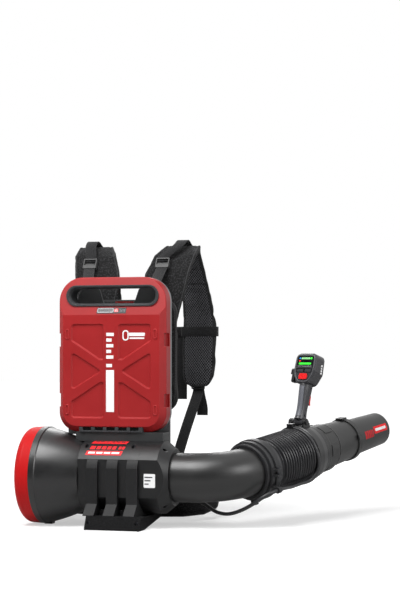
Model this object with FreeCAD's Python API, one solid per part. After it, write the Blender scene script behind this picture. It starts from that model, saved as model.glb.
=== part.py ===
import FreeCAD, Part
import math
import os

# Backpack leaf blower, in millimetres.
# X is the wearer's right, Y is forward, Z is up.
# The origin is on the ground under the fan axis, on the pack's centre line.

V = FreeCAD.Vector

# Clearances
seat_gap = 0.3
slide_gap = 0.5
running_gap = 0.06
moving_gap = 0.8

# Fan, duct and housing
fan_z = 105.0
duct_r = 59.0
duct_wall = 2.5
housing_r = 77.0
housing_wall = 3.0
housing_left_x = -59.0
housing_length = 134.0
flat_cut = 11.0
screw_edge = 11.0
outlet_length = 63.0
outlet_cone_length = 21.5
end_wall = 4.0

# Intake
ring_r = 104.0
ring_length = 34.0
lip_width = 16.0
ring_wall = 3.0
bell_length = 98.0
bell_wall = 3.0
bell_neck_r = 71.5
rim_band = 12.0
nub_length = 17.0
nub_width = 18.0
guard_x = 12.0
guard_depth = 4.0
guard_spokes = 12
guard_rings = 2
guard_hub = 14.0
guard_bar = 2.6

# Rotor and motor
blade_count = 11
blade_tip_gap = 0.8
hub_r = 33.0
hub_length = 46.0
hub_left_x = -54.0
spinner_length = 22.0
shaft_r = 4.0
motor_r = 31.0
motor_left_x = 2.0
motor_length = 52.0
motor_wall = 2.5
tail_length = 46.0
vane_count = 9
vane_length = 34.0
bearing_r = 11.0
bearing_width = 7.0
magnet_r = 17.0
magnet_gap = 0.6

# Stand
arm_depth = 8.0
arm_count = 3
arm_width = 24.0
arm_pitch = 44.2
arm_left_x = -37.0
arm_knee_z = 51.5
foot_left_x = -29.0
foot_length = 120.0
foot_front_y = -110.0
foot_top_front_y = -97.0
foot_top_z = 28.0
foot_back_y = 82.0
foot_plate = 14.0
foot_plate_right_x = 60.0
gusset_top_z = 26.0
gusset_back_y = 50.0
gusset_back_z = 18.0
gusset_gap = 1.1
foot_lift = 2.0
foot_tab = 4.0
foot_screw_span = 105.0
foot_screw_z = 15.0

# Air tube
elbow_r = 52.0
tube_wall = 2.5
elbow_straight = 39.0
elbow_bend_r = 120.0
elbow_turn = 66.0
elbow_tilt = 9.6
elbow_stub = 20.0
clamp_r = 66.0
clamp_start = -16.0
clamp_length = 39.0
rib_pitch = 8.4
rib_crest_r = 62.5
rib_valley_r = 56.5
hose_wall = 3.5
hose_start = 44.0
ribs_per_half = 6
cuff_r = 59.5
collar_gap = 9.6
collar_r = 66.0
collar_length = 46.0
step_r = 58.0
coupling_length = 50.0
coupling_r = 54.0
blower_tube_r = 49.8
blower_tube_end_r = 45.4
blower_tube_wall = 2.2
blower_tube_end = 348.0
nozzle_start = 338.0
nozzle_socket_length = 13.0
nozzle_root_r = 41.5
nozzle_tip_r = 37.8
nozzle_end = 477.0

# Screws and lugs
screw_r = 2.0
screw_head_r = 3.9
screw_head_height = 3.0
housing_seat_y = -30.0
foot_screw_sink = 7.0
outlet_boss_r = 7.5
clamp_lug = 5.0
clamp_lug_gap = 7.0
clamp_lug_z = -9.5
clamp_lug_r = 72.5
handle_screw_r = 2.6

# Handle
pivot_height = 4.0
foot_half = 12.0
foot_r = 8.0
ear_width = 5.0
knob_pin_r = 3.0
handle_place = 187.0
handle_lean = 16.0
grip_half_depth = 15.0
grip_half_width = 12.0
grip_length = 88.0
head_bottom = 84.0
head_height = 70.0
head_half_width = 30.0
head_half_depth = 14.0
head_corner_r = 13.0
trigger_top = 70.0
trigger_length = 27.0
trigger_width = 10.0
strip_half_width = 7.0
strip_bottom = 12.0
strip_top = 80.0
button_width = 22.0
button_height = 13.0
knob_r = 9.0
knob_width = 7.0

# Battery
battery_half_width = 120.0
battery_bottom_z = 200.0
battery_height = 329.0
battery_front_y = -22.0
battery_bevel = 12.0
shell_back_y = 18.0
battery_back_y = 30.0
top_corner_r = 52.0
bottom_corner_r = 42.0
battery_wall = 3.0
cell_room_half = 105.0
cell_room_top_z = 445.0
grip_zone_z = 449.0
grip_zone_rise = 17.0
grip_zone_setback = 10.0
hole_half_length = 95.0
hole_height = 32.0
hole_centre_z = 489.7
liner_wall = 3.0
liner_flange = 6.5
panel_depth = 3.0
panel_slope = 2.5
panel_outer_x = 89.5
panel_inner_x = 16.0
panel_top_z = 429.5
panel_bottom_z = 229.0
guard_half_length = 71.0
guard_height = 10.0
gauge_length = 65.0
gauge_height = 14.0
gauge_thickness = 2.0
gauge_button_size = 8.0
gauge_button_x = 11.0

# Dock, back frame and latch
dock_left_x = -80.0
dock_right_x = 115.0
dock_front_y = -18.0
dock_bottom_z = 150.0
frame_half_width = 115.0
frame_plate = 5.4
frame_back_y = 82.0
frame_box_half = 80.0
frame_wall = 3.0
frame_box_bottom_z = 184.0
frame_box_top_z = 430.0
frame_top_z = 507.0
frame_bar_z = 472.0
rail_x = 88.0
rail_width = 10.0
rail_depth = 5.0
latch_x = 11.0
latch_half_width = 20.0
latch_top_z = 479.0
latch_pivot_z = 446.0
latch_pin_r = 2.0
latch_nose_z = 461.0

# Harness
pad_half_width = 113.0
pad_bottom_z = 242.0
pad_top_z = 545.0
pad_depth = 27.0
strap_thickness = 14.0
webbing_width = 25.0
webbing_thickness = 1.8
lifter_right_x = 71.0
lifter_left_x = 97.0
lifter_top_x = 105.0
anchor_end_x = 72.0
lower_lock_x = 108.0
lower_lock_drop = 11.0
lower_strap_x = 101.0
tail_x = 117.0
chest_tail_x = 67.0
chest_tail_end_z = 262.0
lock_width = 31.0
lock_height = 24.0
lock_thickness = 4.0
chest_strap_height = 22.0
chest_z = 416.0
waist_height = 38.0
waist_z = 61.0
waist_y = 311.0
buckle_entry = 20.0
belt_bottom_z = 12.0
belt_height = 100.0
belt_thickness = 18.0

# Cable
cable_r = 4.0
clip_angle = -29.0
clip_r = 79.0
gland_y = 45.0
gland_z = 55.0

# Places worked out from the sizes
flat_y = housing_r - flat_cut
cradle_flat_y = flat_y + arm_depth
ring_inner_r = ring_r - lip_width
housing_right_x = housing_left_x + housing_length
outlet_right_x = housing_right_x + outlet_length
outlet_cone_x = outlet_right_x - outlet_cone_length
bell_left_x = housing_left_x - bell_length
ring_left_x = bell_left_x - ring_length
duct_outer_r = duct_r + duct_wall
elbow_bore_r = elbow_r - tube_wall
battery_top_z = battery_bottom_z + battery_height
battery_panel_y = battery_front_y + grip_zone_setback
foot_right_x = foot_left_x + foot_length
hose_mid = hose_start + ribs_per_half * rib_pitch
hose_end = hose_start + (2 * ribs_per_half + 1) * rib_pitch
collar_start = hose_end + collar_gap
collar_end = collar_start + collar_length
coupling_end = collar_end + slide_gap + coupling_length


def line(a, b):
    """Straight edge between two points."""
    return Part.LineSegment(a, b).toShape()


def arc(a, m, b):
    """Arc edge from a to b through m."""
    return Part.Arc(a, m, b).toShape()


def front(u, v):
    """Point of an outline that is seen from the front."""
    return V(u, 0, v)


def side(u, v):
    """Point of an outline that is seen from the side."""
    return V(0, u, v)


def outline(plane, start, *steps):
    """Closed wire: a step of two numbers is a line, one of four an arc through its first point."""
    edges = []
    here = start
    for step in steps:
        end = step[-2:]
        if len(step) == 2:
            edges.append(line(plane(*here), plane(*end)))
        else:
            edges.append(arc(plane(*here), plane(*step[:2]), plane(*end)))
        here = end
    if here != start:
        edges.append(line(plane(*here), plane(*start)))
    return Part.Wire(edges)


def rounded(plane, corners, radii):
    """Closed wire through the corners, each with a tangent arc of its radius."""
    if not isinstance(radii, (list, tuple)):
        radii = [radii] * len(corners)
    joins = []
    for i, corner in enumerate(corners):
        here = plane(*corner)
        back = plane(*corners[i - 1]).sub(here).normalize()
        ahead = plane(*corners[(i + 1) % len(corners)]).sub(here).normalize()
        half = math.acos(max(-1, min(1, back.dot(ahead)))) / 2
        reach = radii[i] / math.tan(half)
        inward = back.add(ahead).normalize()
        middle = here + inward * (radii[i] / math.sin(half) - radii[i])
        joins.append((here + back * reach, middle, here + ahead * reach))
    edges = []
    for i, (start, middle, end) in enumerate(joins):
        if radii[i] > 0:
            edges.append(arc(start, middle, end))
        edges.append(line(end, joins[(i + 1) % len(joins)][0]))
    return Part.Wire(edges)


def swept(wire, travel):
    """Solid from a flat wire carried along a vector."""
    return Part.Face(wire).extrude(travel)


def plate_y(wire, y0, y1):
    """Plate between two depths from a wire drawn in the front plane."""
    solid = swept(wire, V(0, y1 - y0, 0))
    solid.translate(V(0, y0, 0))
    return solid


def plate_x(wire, x0, x1):
    """Plate between two stations from a wire drawn in the side plane."""
    solid = swept(wire, V(x1 - x0, 0, 0))
    solid.translate(V(x0, 0, 0))
    return solid


def box(x0, x1, y0, y1, z0, z1):
    """Box between two corners."""
    return Part.makeBox(x1 - x0, y1 - y0, z1 - z0, V(x0, y0, z0))


def turned(start, *steps):
    """Solid turned about the X axis from an outline of (x, radius) points."""
    return Part.Face(outline(front, start, *steps)).revolve(V(0, 0, 0), V(1, 0, 0), 360)


def rod(p, direction, radius, length):
    """Round bar from p along a direction."""
    return Part.makeCylinder(radius, length, p, direction)


def seated(shape, origin, along, up):
    """Carry a shape from its own axes to a place: its X goes along, its Z goes up."""
    x = V(along).normalize()
    y = V(up).cross(x).normalize()
    z = x.cross(y)
    m = FreeCAD.Matrix(x.x, y.x, z.x, origin.x, x.y, y.y, z.y, origin.y, x.z, y.z, z.z, origin.z)
    moved = shape.copy()
    moved.Placement = FreeCAD.Placement(m).multiply(shape.Placement)
    return moved


def at_fan(shape):
    """Carry a shape from the X axis to the fan axis."""
    moved = shape.copy()
    moved.translate(V(0, 0, fan_z))
    return moved


def union(shapes):
    """One solid from several that touch."""
    first = shapes[0]
    return first.fuse(shapes[1:]).removeSplitter()


# Frame of the straight air tube, past the elbow
turn = math.radians(elbow_turn)
tilt = math.radians(elbow_tilt)
bend_x = outlet_right_x - end_wall + elbow_straight
bend_side = V(0, math.cos(tilt), math.sin(tilt))
tube_origin = V(bend_x, 0, fan_z) + V(1, 0, 0) * (elbow_bend_r * math.sin(turn))
tube_origin = tube_origin + bend_side * (elbow_bend_r * (1 - math.cos(turn)))
tube_dir = V(1, 0, 0) * math.cos(turn) + bend_side * math.sin(turn)
tube_up = (V(0, 0, 1) - tube_dir * tube_dir.z).normalize()
tube_right = tube_dir.cross(tube_up)

# Frame of the control handle, leaning forward from the collar
forward = V(tube_dir.x, tube_dir.y, 0).normalize()
lean = math.radians(handle_lean)
handle_up = V(0, 0, 1) * math.cos(lean) + forward * math.sin(lean)
handle_forward = forward * math.cos(lean) - V(0, 0, 1) * math.sin(lean)
handle_origin = tube_origin + tube_dir * handle_place + tube_up * (collar_r + pivot_height)


def on_tube(shape):
    """Carry a shape from the X axis to the air tube, with its Z up."""
    return seated(shape, tube_origin, tube_dir, tube_up)


def tube_point(s, angle, r):
    """Point s along the tube, at an angle above its right side, r from its axis."""
    a = math.radians(angle)
    return tube_origin + tube_dir * s + tube_right * (r * math.cos(a)) + tube_up * (r * math.sin(a))


def on_handle(shape):
    """Carry a shape to the handle: X forward, Y left, Z along the grip."""
    return seated(shape, handle_origin, handle_forward, handle_up)


def intake_ring():
    """Red ring with a rolled front lip and a straight inner wall."""
    x0 = ring_left_x
    x1 = bell_left_x
    lip = ring_inner_r + ring_wall
    return at_fan(turned(
        (x1, ring_r), (x0 + 16, ring_r - 1.2),
        (x0 + 4.5, ring_r - 4.2, x0, ring_r - 10),
        (x0 + 1.2, ring_inner_r + 1.4, x0 + 5, ring_inner_r),
        (x1, ring_inner_r), (x1, lip), (x0 + 6, lip),
        (x0 + 6.5, ring_r - 7.5, x0 + 16, ring_r - 1.2 - ring_wall),
        (x1, ring_r - ring_wall)))


def bell_form(margin):
    """Solid of the bell's outer form, grown by a margin."""
    x0 = bell_left_x
    x1 = housing_left_x
    xm = (x0 + rim_band + x1) / 2
    bulge = (ring_r + bell_neck_r) / 2 + 2 + margin
    rim = ring_r - 1 + margin
    flare = (xm, bulge, x1, bell_neck_r + margin)
    return at_fan(turned((x0 - 1, 0), (x0 - 1, rim), (x0 + rim_band, rim), flare, (x1, 0)))


def intake_bell():
    """Black bell from the rim band to the housing neck, with a small floor nub."""
    x0 = bell_left_x
    x1 = housing_left_x
    xm = (x0 + rim_band + x1) / 2
    bulge = (ring_r + bell_neck_r) / 2 + 2
    shell = at_fan(turned(
        (x0, ring_r), (x0 + rim_band, ring_r), (x0 + rim_band + 2, ring_r - 2),
        (xm, bulge, x1, bell_neck_r), (x1, bell_neck_r - bell_wall),
        (xm, bulge - bell_wall, x0 + rim_band, ring_r - 2 - bell_wall),
        (x0, ring_r - 2 - bell_wall)))
    nub_x = x0 + 2
    nub = box(nub_x, nub_x + nub_length, -nub_width / 2, nub_width / 2, 0, 20)
    return union([shell, nub.cut(bell_form(-1))])


def intake_guard():
    """Flat round grille behind the lip: a hub, straight spokes and two rings of straight bars."""
    reach = ring_inner_r - seat_gap
    x0 = ring_left_x + guard_x
    x1 = x0 + guard_depth
    half = math.pi / guard_spokes
    corners = [(2 * i + 1) * half for i in range(guard_spokes)]
    hub_corner_r = guard_hub / math.cos(half)
    hub_points = [(hub_corner_r * math.cos(a), hub_corner_r * math.sin(a)) for a in corners]
    bars = [plate_x(outline(side, hub_points[0], *hub_points[1:]), x0, x1)]
    ring_pitch = (reach - guard_hub) / (guard_rings + 1)
    side_w = guard_bar / 2 + seat_gap / 2
    disc = rod(V(x0 - 1, 0, 0), V(1, 0, 0), reach, guard_depth + 2)
    for i in range(guard_spokes):
        turn_angle = 360 * i / guard_spokes
        spoke = box(x0, x1, -guard_bar / 2, guard_bar / 2, guard_hub + seat_gap / 2, reach + 1).common(disc)
        spoke.rotate(V(0, 0, 0), V(1, 0, 0), turn_angle)
        bars.append(spoke)
        for j in range(1, guard_rings + 1):
            corner = []
            for a in (guard_hub + j * ring_pitch - guard_bar / 2, guard_hub + j * ring_pitch + guard_bar / 2):
                corner.append(((a * math.sin(half) - side_w) / math.cos(half), a))
            (t0, a0), (t1, a1) = corner
            bar = plate_x(outline(side, (-t0, a0), (t0, a0), (t1, a1), (-t1, a1)), x0, x1)
            bar.rotate(V(0, 0, 0), V(1, 0, 0), turn_angle + math.degrees(half))
            bars.append(bar)
    return at_fan(Part.makeCompound(bars))


def fan_duct():
    """Inner duct: flared mouth in the bell, straight round the fan, tapered to the elbow."""
    x0 = housing_left_x - 10
    x1 = housing_left_x + 1
    x2 = outlet_right_x - end_wall - seat_gap
    mouth = bell_neck_r - bell_wall - 1.2
    return at_fan(turned(
        (x0, mouth), (x0 + 5, duct_r + 1.8, x1, duct_r), (housing_right_x, duct_r), (x2, elbow_bore_r),
        (x2, elbow_bore_r + duct_wall), (housing_right_x, duct_outer_r), (x1, duct_outer_r),
        (x0 + 4, duct_r + 4.5, x0 - 2, mouth + 0.6)))


def housing_section(radius, flat):
    """Round section with a flat front, drawn about the fan axis."""
    h = math.sqrt(radius ** 2 - flat ** 2)
    return outline(side, (-flat, h), (radius, 0, -flat, -h))


def housing_places():
    """Height offsets and stations of the four housing screws."""
    rise = housing_r - screw_edge
    return [(x, up * rise) for x in (-46.7, 56.7) for up in (1, -1)]


def housing_body():
    """Both half shells of the fan housing as one closed shell."""
    x0 = housing_left_x
    x1 = housing_right_x
    outer = plate_x(housing_section(housing_r, flat_y), x0, x1)
    section = housing_section(housing_r - housing_wall, flat_y - housing_wall)
    hollow = plate_x(section, x0 + end_wall, x1 - end_wall)
    shell = outer.cut(hollow)
    for x, up in housing_places():
        boss = rod(V(x, housing_seat_y - 3, up), V(0, 1, 0), 6.5, 53)
        shell = shell.fuse(boss.common(outer))
    shell = shell.cut(rod(V(x0 - 1, 0, 0), V(1, 0, 0), duct_outer_r + seat_gap, housing_length + 2))
    for x, up in housing_places():
        shell = shell.cut(rod(V(x, housing_seat_y - 50, up), V(0, 1, 0), screw_head_r + seat_gap, 50))
        shell = shell.cut(rod(V(x, housing_seat_y - 1, up), V(0, 1, 0), screw_r + 0.2, 44))
    return shell


def housing_half(front_side):
    """Front or rear half shell, parted on the fan axis plane."""
    y0 = -housing_r - 5 if front_side else 0
    half = box(housing_left_x - 1, housing_right_x + 1, y0, y0 + housing_r + 5, -housing_r - 5, housing_r + 5)
    return at_fan(housing_body().common(half))


def outlet_housing():
    """Outlet housing: round with the same flat front, closed by a steep cone, with a cable gland."""
    x0 = housing_right_x
    x1 = outlet_cone_x
    x2 = outlet_right_x
    neck = elbow_r + 8
    outer = turned((x0, 0), (x0, housing_r), (x1, housing_r), (x2, neck), (x2, 0))
    inner = turned((x0 - 1, 0), (x0 - 1, housing_r - housing_wall), (x1 - 1, housing_r - housing_wall),
                   (x2 - end_wall, neck - 2), (x2 - end_wall, 0))
    depth = 2 * housing_r
    outer = outer.cut(box(x0 - 1, x2 + 1, -depth, -flat_y, -depth, depth))
    inner = inner.cut(box(x0 - 2, x2 + 1, -depth, -flat_y + housing_wall, -depth, depth))
    shell = outer.cut(inner)
    for y, z in outlet_screw_places():
        boss = rod(V(x0 + 20, y, z), V(1, 0, 0), outlet_boss_r, outlet_length)
        shell = shell.fuse(boss.common(outer))
    shell = shell.cut(rod(V(x2 - end_wall - 1, 0, 0), V(1, 0, 0), elbow_r + seat_gap, end_wall + 2))
    for y, z in outlet_screw_places():
        shell = shell.cut(rod(V(outlet_seat_x(), y, z), V(1, 0, 0), screw_head_r + seat_gap, outlet_length))
        shell = shell.cut(rod(V(x0 + 19, y, z), V(1, 0, 0), screw_r + 0.2, outlet_length))
    shell = at_fan(shell)
    reach = gland_end_x() - gland_root_x() + 3
    gland = rod(V(gland_root_x() - 3, gland_y, gland_z), V(1, 0, 0), 2 * cable_r, reach)
    return union([shell, gland])


def gland_root_x():
    """Station where the cable gland leaves the outlet cone."""
    reach = math.hypot(gland_y, gland_z - fan_z)
    return outlet_cone_x + (housing_r - reach) / (housing_r - elbow_r - 8) * outlet_cone_length


def outlet_screw_places():
    """Side and height offsets of the four outlet screws."""
    r = housing_r - outlet_boss_r - seat_gap
    angle = math.radians(57.5)
    return [(a * r * math.cos(angle), b * r * math.sin(angle)) for a in (-1, 1) for b in (-1, 1)]


def outlet_seat_x():
    """Station of the seats under the outlet screw heads."""
    return outlet_cone_x - 2


def screw(seat, direction, length):
    """Pan head screw from its seat: the shank goes along the direction, the head stands behind it."""
    d = V(direction).normalize()
    head = rod(seat - d * screw_head_height, d, screw_head_r, screw_head_height)
    shank = rod(seat, d, screw_r, length)
    socket = rod(seat - d * (screw_head_height + 0.5), d, screw_r * 0.9, screw_head_height * 0.7)
    return head.fuse(shank).cut(socket)


def housing_screws():
    """Pan head screws of the housing, the outlet, the foot and the hose clamp."""
    screws = []
    for x, up in housing_places():
        screws.append(screw(V(x, housing_seat_y - seat_gap / 2, up + fan_z), V(0, 1, 0), 42))
    for y, z in outlet_screw_places():
        screws.append(screw(V(outlet_seat_x() + seat_gap / 2, y, z + fan_z), V(-1, 0, 0), 15))
    for x in foot_screw_x():
        seat = V(x, foot_screw_y() + foot_screw_sink - seat_gap / 2, foot_screw_z)
        screws.append(screw(seat, V(0, 1, 0), 14))
    top = clamp_lug_z + clamp_lug + clamp_lug_gap + clamp_lug + seat_gap / 2
    screws.append(on_tube(screw(V(3, -clamp_lug_r, top), V(0, 0, -1), 21)))
    return Part.makeCompound(screws)


def foot_screw_x():
    """Stations of the two foot screws."""
    middle = foot_left_x + foot_length / 2
    return [middle - foot_screw_span / 2, middle + foot_screw_span / 2]


def foot_screw_y():
    """Depth of the sloping foot face at the height of its screws."""
    share = foot_screw_z / foot_top_z
    return foot_front_y + share * (foot_top_front_y - foot_front_y)


def base_foot():
    """Base with a sloping front beam, end tabs, a floor plate and a rising gusset on the right."""
    beam_back = foot_top_front_y + 27
    beam_profile = outline(side, (foot_front_y, foot_lift), (foot_top_front_y, foot_top_z),
                           (beam_back, foot_top_z), (beam_back, 0), (foot_front_y + 5, 0),
                           (foot_front_y + 5, foot_lift))
    beam = plate_x(beam_profile, foot_left_x, foot_right_x)
    plate = box(foot_left_x, foot_plate_right_x, beam_back - 1, foot_back_y, 0, foot_plate)
    gusset_left_x = arm_left_x + (arm_count - 1) * arm_pitch + arm_width + gusset_gap
    gusset_profile = outline(side, (beam_back - 1, 0), (beam_back - 1, gusset_top_z),
                             (gusset_back_y, gusset_top_z), (gusset_back_y, gusset_back_z))
    gusset = plate_x(gusset_profile, gusset_left_x, foot_right_x)
    tab_profile = outline(side, (foot_front_y, 0), (foot_top_front_y, foot_top_z), (beam_back, foot_top_z),
                          (beam_back, 0))
    tabs = [plate_x(tab_profile, x, x + foot_tab) for x in (foot_left_x, foot_right_x - foot_tab)]
    body = union([beam, plate, gusset] + tabs)
    for x0, x1 in pocket_spans():
        body = body.cut(box(x0, x1, -60, 66, foot_plate - 8, foot_plate + 1))
    for x in foot_screw_x():
        sink = foot_screw_y() + foot_screw_sink - foot_front_y + 5
        body = body.cut(rod(V(x, foot_front_y - 5, foot_screw_z), V(0, 1, 0), screw_head_r + seat_gap, sink))
        body = body.cut(rod(V(x, foot_screw_y(), foot_screw_z), V(0, 1, 0), screw_r + 0.2, 25))
    return body


def pocket_spans():
    """Stations of the weight-saving pockets between the cradle arms."""
    spans = []
    for i in range(arm_count - 1):
        x0 = arm_left_x + i * arm_pitch + arm_width + 2
        spans.append((x0, x0 + arm_pitch - arm_width - 4))
    return spans


def cradle():
    """Three arms from the foot up the front flat of the housing, joined by a saddle web."""
    r = housing_r + seat_gap
    flat = flat_y + seat_gap
    top = math.sqrt(housing_r ** 2 - flat ** 2)
    knee = math.sqrt(housing_r ** 2 - cradle_flat_y ** 2)
    mid = (top + knee) / 2
    low = math.sqrt(r ** 2 - flat ** 2)
    rear_y = 58.0
    rear = math.sqrt(r ** 2 - rear_y ** 2)
    front_bottom_y = foot_top_front_y + 1
    profile = outline(
        side, (-flat, fan_z + top),
        (-math.sqrt(housing_r ** 2 - mid ** 2), fan_z + mid, -cradle_flat_y, fan_z + knee),
        (-cradle_flat_y, arm_knee_z), (front_bottom_y, foot_top_z + 1.5), (front_bottom_y, foot_top_z),
        (foot_top_front_y + 27, foot_top_z), (foot_top_front_y + 27, foot_plate),
        (rear_y + 12, foot_plate), (rear_y, fan_z - rear),
        (0, fan_z - r, -flat, fan_z - low))
    arms = []
    for i in range(arm_count):
        x = arm_left_x + i * arm_pitch
        arms.append(plate_x(profile, x, x + arm_width))
    x0 = arm_left_x
    x1 = arm_left_x + (arm_count - 1) * arm_pitch + arm_width
    web = box(x0, x1, -56, 62, foot_plate, foot_plate + 24)
    web = web.cut(rod(V(x0 - 1, 0, fan_z), V(1, 0, 0), r, x1 - x0 + 2))
    return union(arms + [web])


def elbow_core(radius, margin):
    """Solid bend of a radius along the elbow, longer at both ends by a margin."""
    x0 = outlet_right_x - end_wall
    run = rod(V(x0 - margin, 0, fan_z), V(1, 0, 0), radius, elbow_straight + margin)
    disc = Part.Face(Part.Wire(Part.Circle(V(bend_x, 0, fan_z), V(1, 0, 0), radius).toShape()))
    centre = V(bend_x, 0, fan_z) + bend_side * elbow_bend_r
    bend = disc.revolve(centre, V(1, 0, 0).cross(bend_side), elbow_turn)
    stub = rod(tube_origin, tube_dir, radius, elbow_stub + margin)
    return union([run, bend, stub])


def elbow():
    """Bent air tube: straight run, bend and the stub that holds the hose."""
    return elbow_core(elbow_r, 0).cut(elbow_core(elbow_bore_r, 1))


def hose_clamp():
    """Clamp band with stepped rings, bolt lugs, a lower lug and the cable clip."""
    r0 = elbow_r + seat_gap
    s0 = clamp_start
    s1 = clamp_start + clamp_length
    band = turned(
        (s0, r0), (s0, elbow_r + 6), (s0 + 1.5, elbow_r + 8), (s0 + 5, elbow_r + 8), (s0 + 6.5, elbow_r + 5.5),
        (s0 + 9, elbow_r + 5.5), (s0 + 10.5, clamp_r - 2), (s0 + 19, clamp_r - 2), (s0 + 20, clamp_r - 5),
        (s0 + 22, clamp_r - 5), (s0 + 23.5, clamp_r), (s1 - 2, clamp_r), (s1, clamp_r - 2), (s1, r0))
    parts = [band]
    for z in (clamp_lug_z, clamp_lug_z + clamp_lug + clamp_lug_gap):
        lug = box(-4, 10, -clamp_lug_r - 4.5, -clamp_r + 6, z, z + clamp_lug)
        parts.append(lug.cut(rod(V(3, -clamp_lug_r, z - 1), V(0, 0, 1), screw_r + 0.2, clamp_lug + 2)))
    lower = box(-2, 9, -6, 6, -clamp_r - 8, -clamp_r + 4)
    parts.append(lower)
    a = math.radians(clip_angle)
    loop = turned((-3, cable_r + 0.4), (7, cable_r + 0.4), (7, cable_r + 3), (-3, cable_r + 3))
    loop.translate(V(0, -clip_r * math.cos(a), clip_r * math.sin(a)))
    arm = box(-3, 7, -clip_r + cable_r + 1.5, -clamp_r + 6, -3, 3)
    arm.rotate(V(0, 0, 0), V(1, 0, 0), -clip_angle)
    parts.append(loop)
    parts.append(arm)
    bore = rod(V(s0 - 1, 0, 0), V(1, 0, 0), r0, clamp_length + 2)
    return on_tube(union(parts).cut(bore)).cut(elbow_core(r0, 0))


def ring_wire(s, r):
    """Circle round the X axis."""
    return Part.Wire(Part.Circle(V(s, 0, 0), V(1, 0, 0), r).toShape())


def ribs(start, count):
    """Outer form of a ribbed hose: four circles to each rib, joined by ruled faces."""
    circles = []
    for i in range(count):
        for share, r in ((0, rib_valley_r), (0.28, rib_valley_r), (0.48, rib_crest_r), (0.8, rib_crest_r)):
            circles.append(ring_wire(start + (i + share) * rib_pitch, r))
    circles.append(ring_wire(start + count * rib_pitch, rib_valley_r))
    return Part.makeLoft(circles, True, True)


def hose_rear():
    """Rear part of the ribbed hose, with its cuff in the clamp."""
    cuff_start = clamp_start + clamp_length + seat_gap
    bore = rib_valley_r - hose_wall
    cuff = turned((cuff_start, 0), (cuff_start, cuff_r), (hose_start - 6, cuff_r),
                  (hose_start - 4, rib_valley_r), (hose_start, rib_valley_r), (hose_start, 0))
    body = cuff.fuse(ribs(hose_start, ribs_per_half))
    return on_tube(body.cut(rod(V(cuff_start - 1, 0, 0), V(1, 0, 0), bore, hose_mid - cuff_start + 2)))


def hose_mid_band():
    """The rib at the middle of the hose, where its two bending halves meet."""
    bore = rib_valley_r - hose_wall
    body = ribs(hose_mid, 1)
    return on_tube(body.cut(rod(V(hose_mid - 1, 0, 0), V(1, 0, 0), bore, rib_pitch + 2)))


def hose_front():
    """Front part of the ribbed hose, with the cuff that the collar holds."""
    s0 = hose_mid + rib_pitch
    bore = rib_valley_r - hose_wall
    cuff_end = collar_start + 8
    cuff = turned((hose_end, 0), (hose_end, rib_valley_r), (cuff_end, rib_valley_r), (cuff_end, 0))
    body = cuff.fuse(ribs(s0, ribs_per_half))
    return on_tube(body.cut(rod(V(s0 - 1, 0, 0), V(1, 0, 0), bore, cuff_end - s0 + 2)))


def handle_collar():
    """Collar round the hose end and the tube, with the handle's foot on top."""
    s0 = collar_start
    s1 = collar_end
    cuff_bore = rib_valley_r + seat_gap
    cuff_end = s0 + 8 + seat_gap
    tube_bore = blower_tube_r + seat_gap
    band = turned(
        (s0, cuff_bore), (s0, collar_r - 1.5), (s0 + 1.5, collar_r), (s0 + 6, collar_r), (s0 + 8, collar_r - 3),
        (s0 + 22, collar_r - 3.5), (s0 + 36, step_r + 2), (s0 + 38, step_r), (s1, step_r), (s1, tube_bore),
        (cuff_end, tube_bore), (cuff_end, cuff_bore))
    foot_s = handle_place
    pivot = collar_r + pivot_height
    w = foot_half + moving_gap
    stem = box(foot_s - 17, foot_s + 17, -w, w, collar_r - 16, collar_r + 2)
    parts = [band, stem]
    for y in (-foot_half - moving_gap - ear_width, foot_half + moving_gap):
        ear = rod(V(foot_s, y, pivot), V(0, 1, 0), 8.5, ear_width)
        ear = ear.fuse(box(foot_s - 12, foot_s + 12, y, y + ear_width, collar_r - 18, pivot - 3))
        parts.append(ear.cut(rod(V(foot_s, y - 1, pivot), V(0, 1, 0), knob_pin_r + running_gap, ear_width + 2)))
    entry = box(s0 - collar_gap + 0.6, s0 + 2, -3, 12, cuff_bore + 0.6, collar_r + 6)
    parts.append(entry)
    body = union(parts)
    tunnel = rod(V(s0 - 1, 0, 0), V(1, 0, 0), tube_bore, collar_length + 2)
    seat = rod(V(s0 - 1, 0, 0), V(1, 0, 0), cuff_bore, cuff_end - s0 + 1)
    room = box(foot_s - 22, foot_s + 22, -w, w, pivot - foot_r - moving_gap, pivot + 30)
    return on_tube(body.cut(tunnel).cut(seat).cut(room))


def coupling_ring():
    """Turning ring with raised grip pads that locks the blower tube."""
    s0 = collar_end + slide_gap
    s1 = s0 + coupling_length
    r0 = blower_tube_r + slide_gap
    band = turned((s0, r0), (s0, coupling_r), (s0 + 14, coupling_r), (s0 + 16, coupling_r - 1),
                  (s1 - 3, coupling_r - 1.6), (s1, coupling_r - 3), (s1, r0))
    pads = []
    block = turned((s0 + 17, coupling_r - 2), (s0 + 17, coupling_r + 0.6), (s1 - 8, coupling_r + 0.2),
                   (s1 - 8, coupling_r - 2))
    for i in range(6):
        wedge = box(s0, s1, -coupling_r - 4, -coupling_r + 8, -13, 13)
        wedge.rotate(V(0, 0, 0), V(1, 0, 0), 60 * i)
        pads.append(block.common(wedge))
    body = union([band] + pads)
    for i in range(6):
        for z in (-6, 6):
            groove = box(s0 + 17, s1 - 8, -coupling_r - 4, -coupling_r - 0.2, z - 0.8, z + 0.8)
            groove.rotate(V(0, 0, 0), V(1, 0, 0), 60 * i)
            body = body.cut(groove)
    return on_tube(body)


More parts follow.
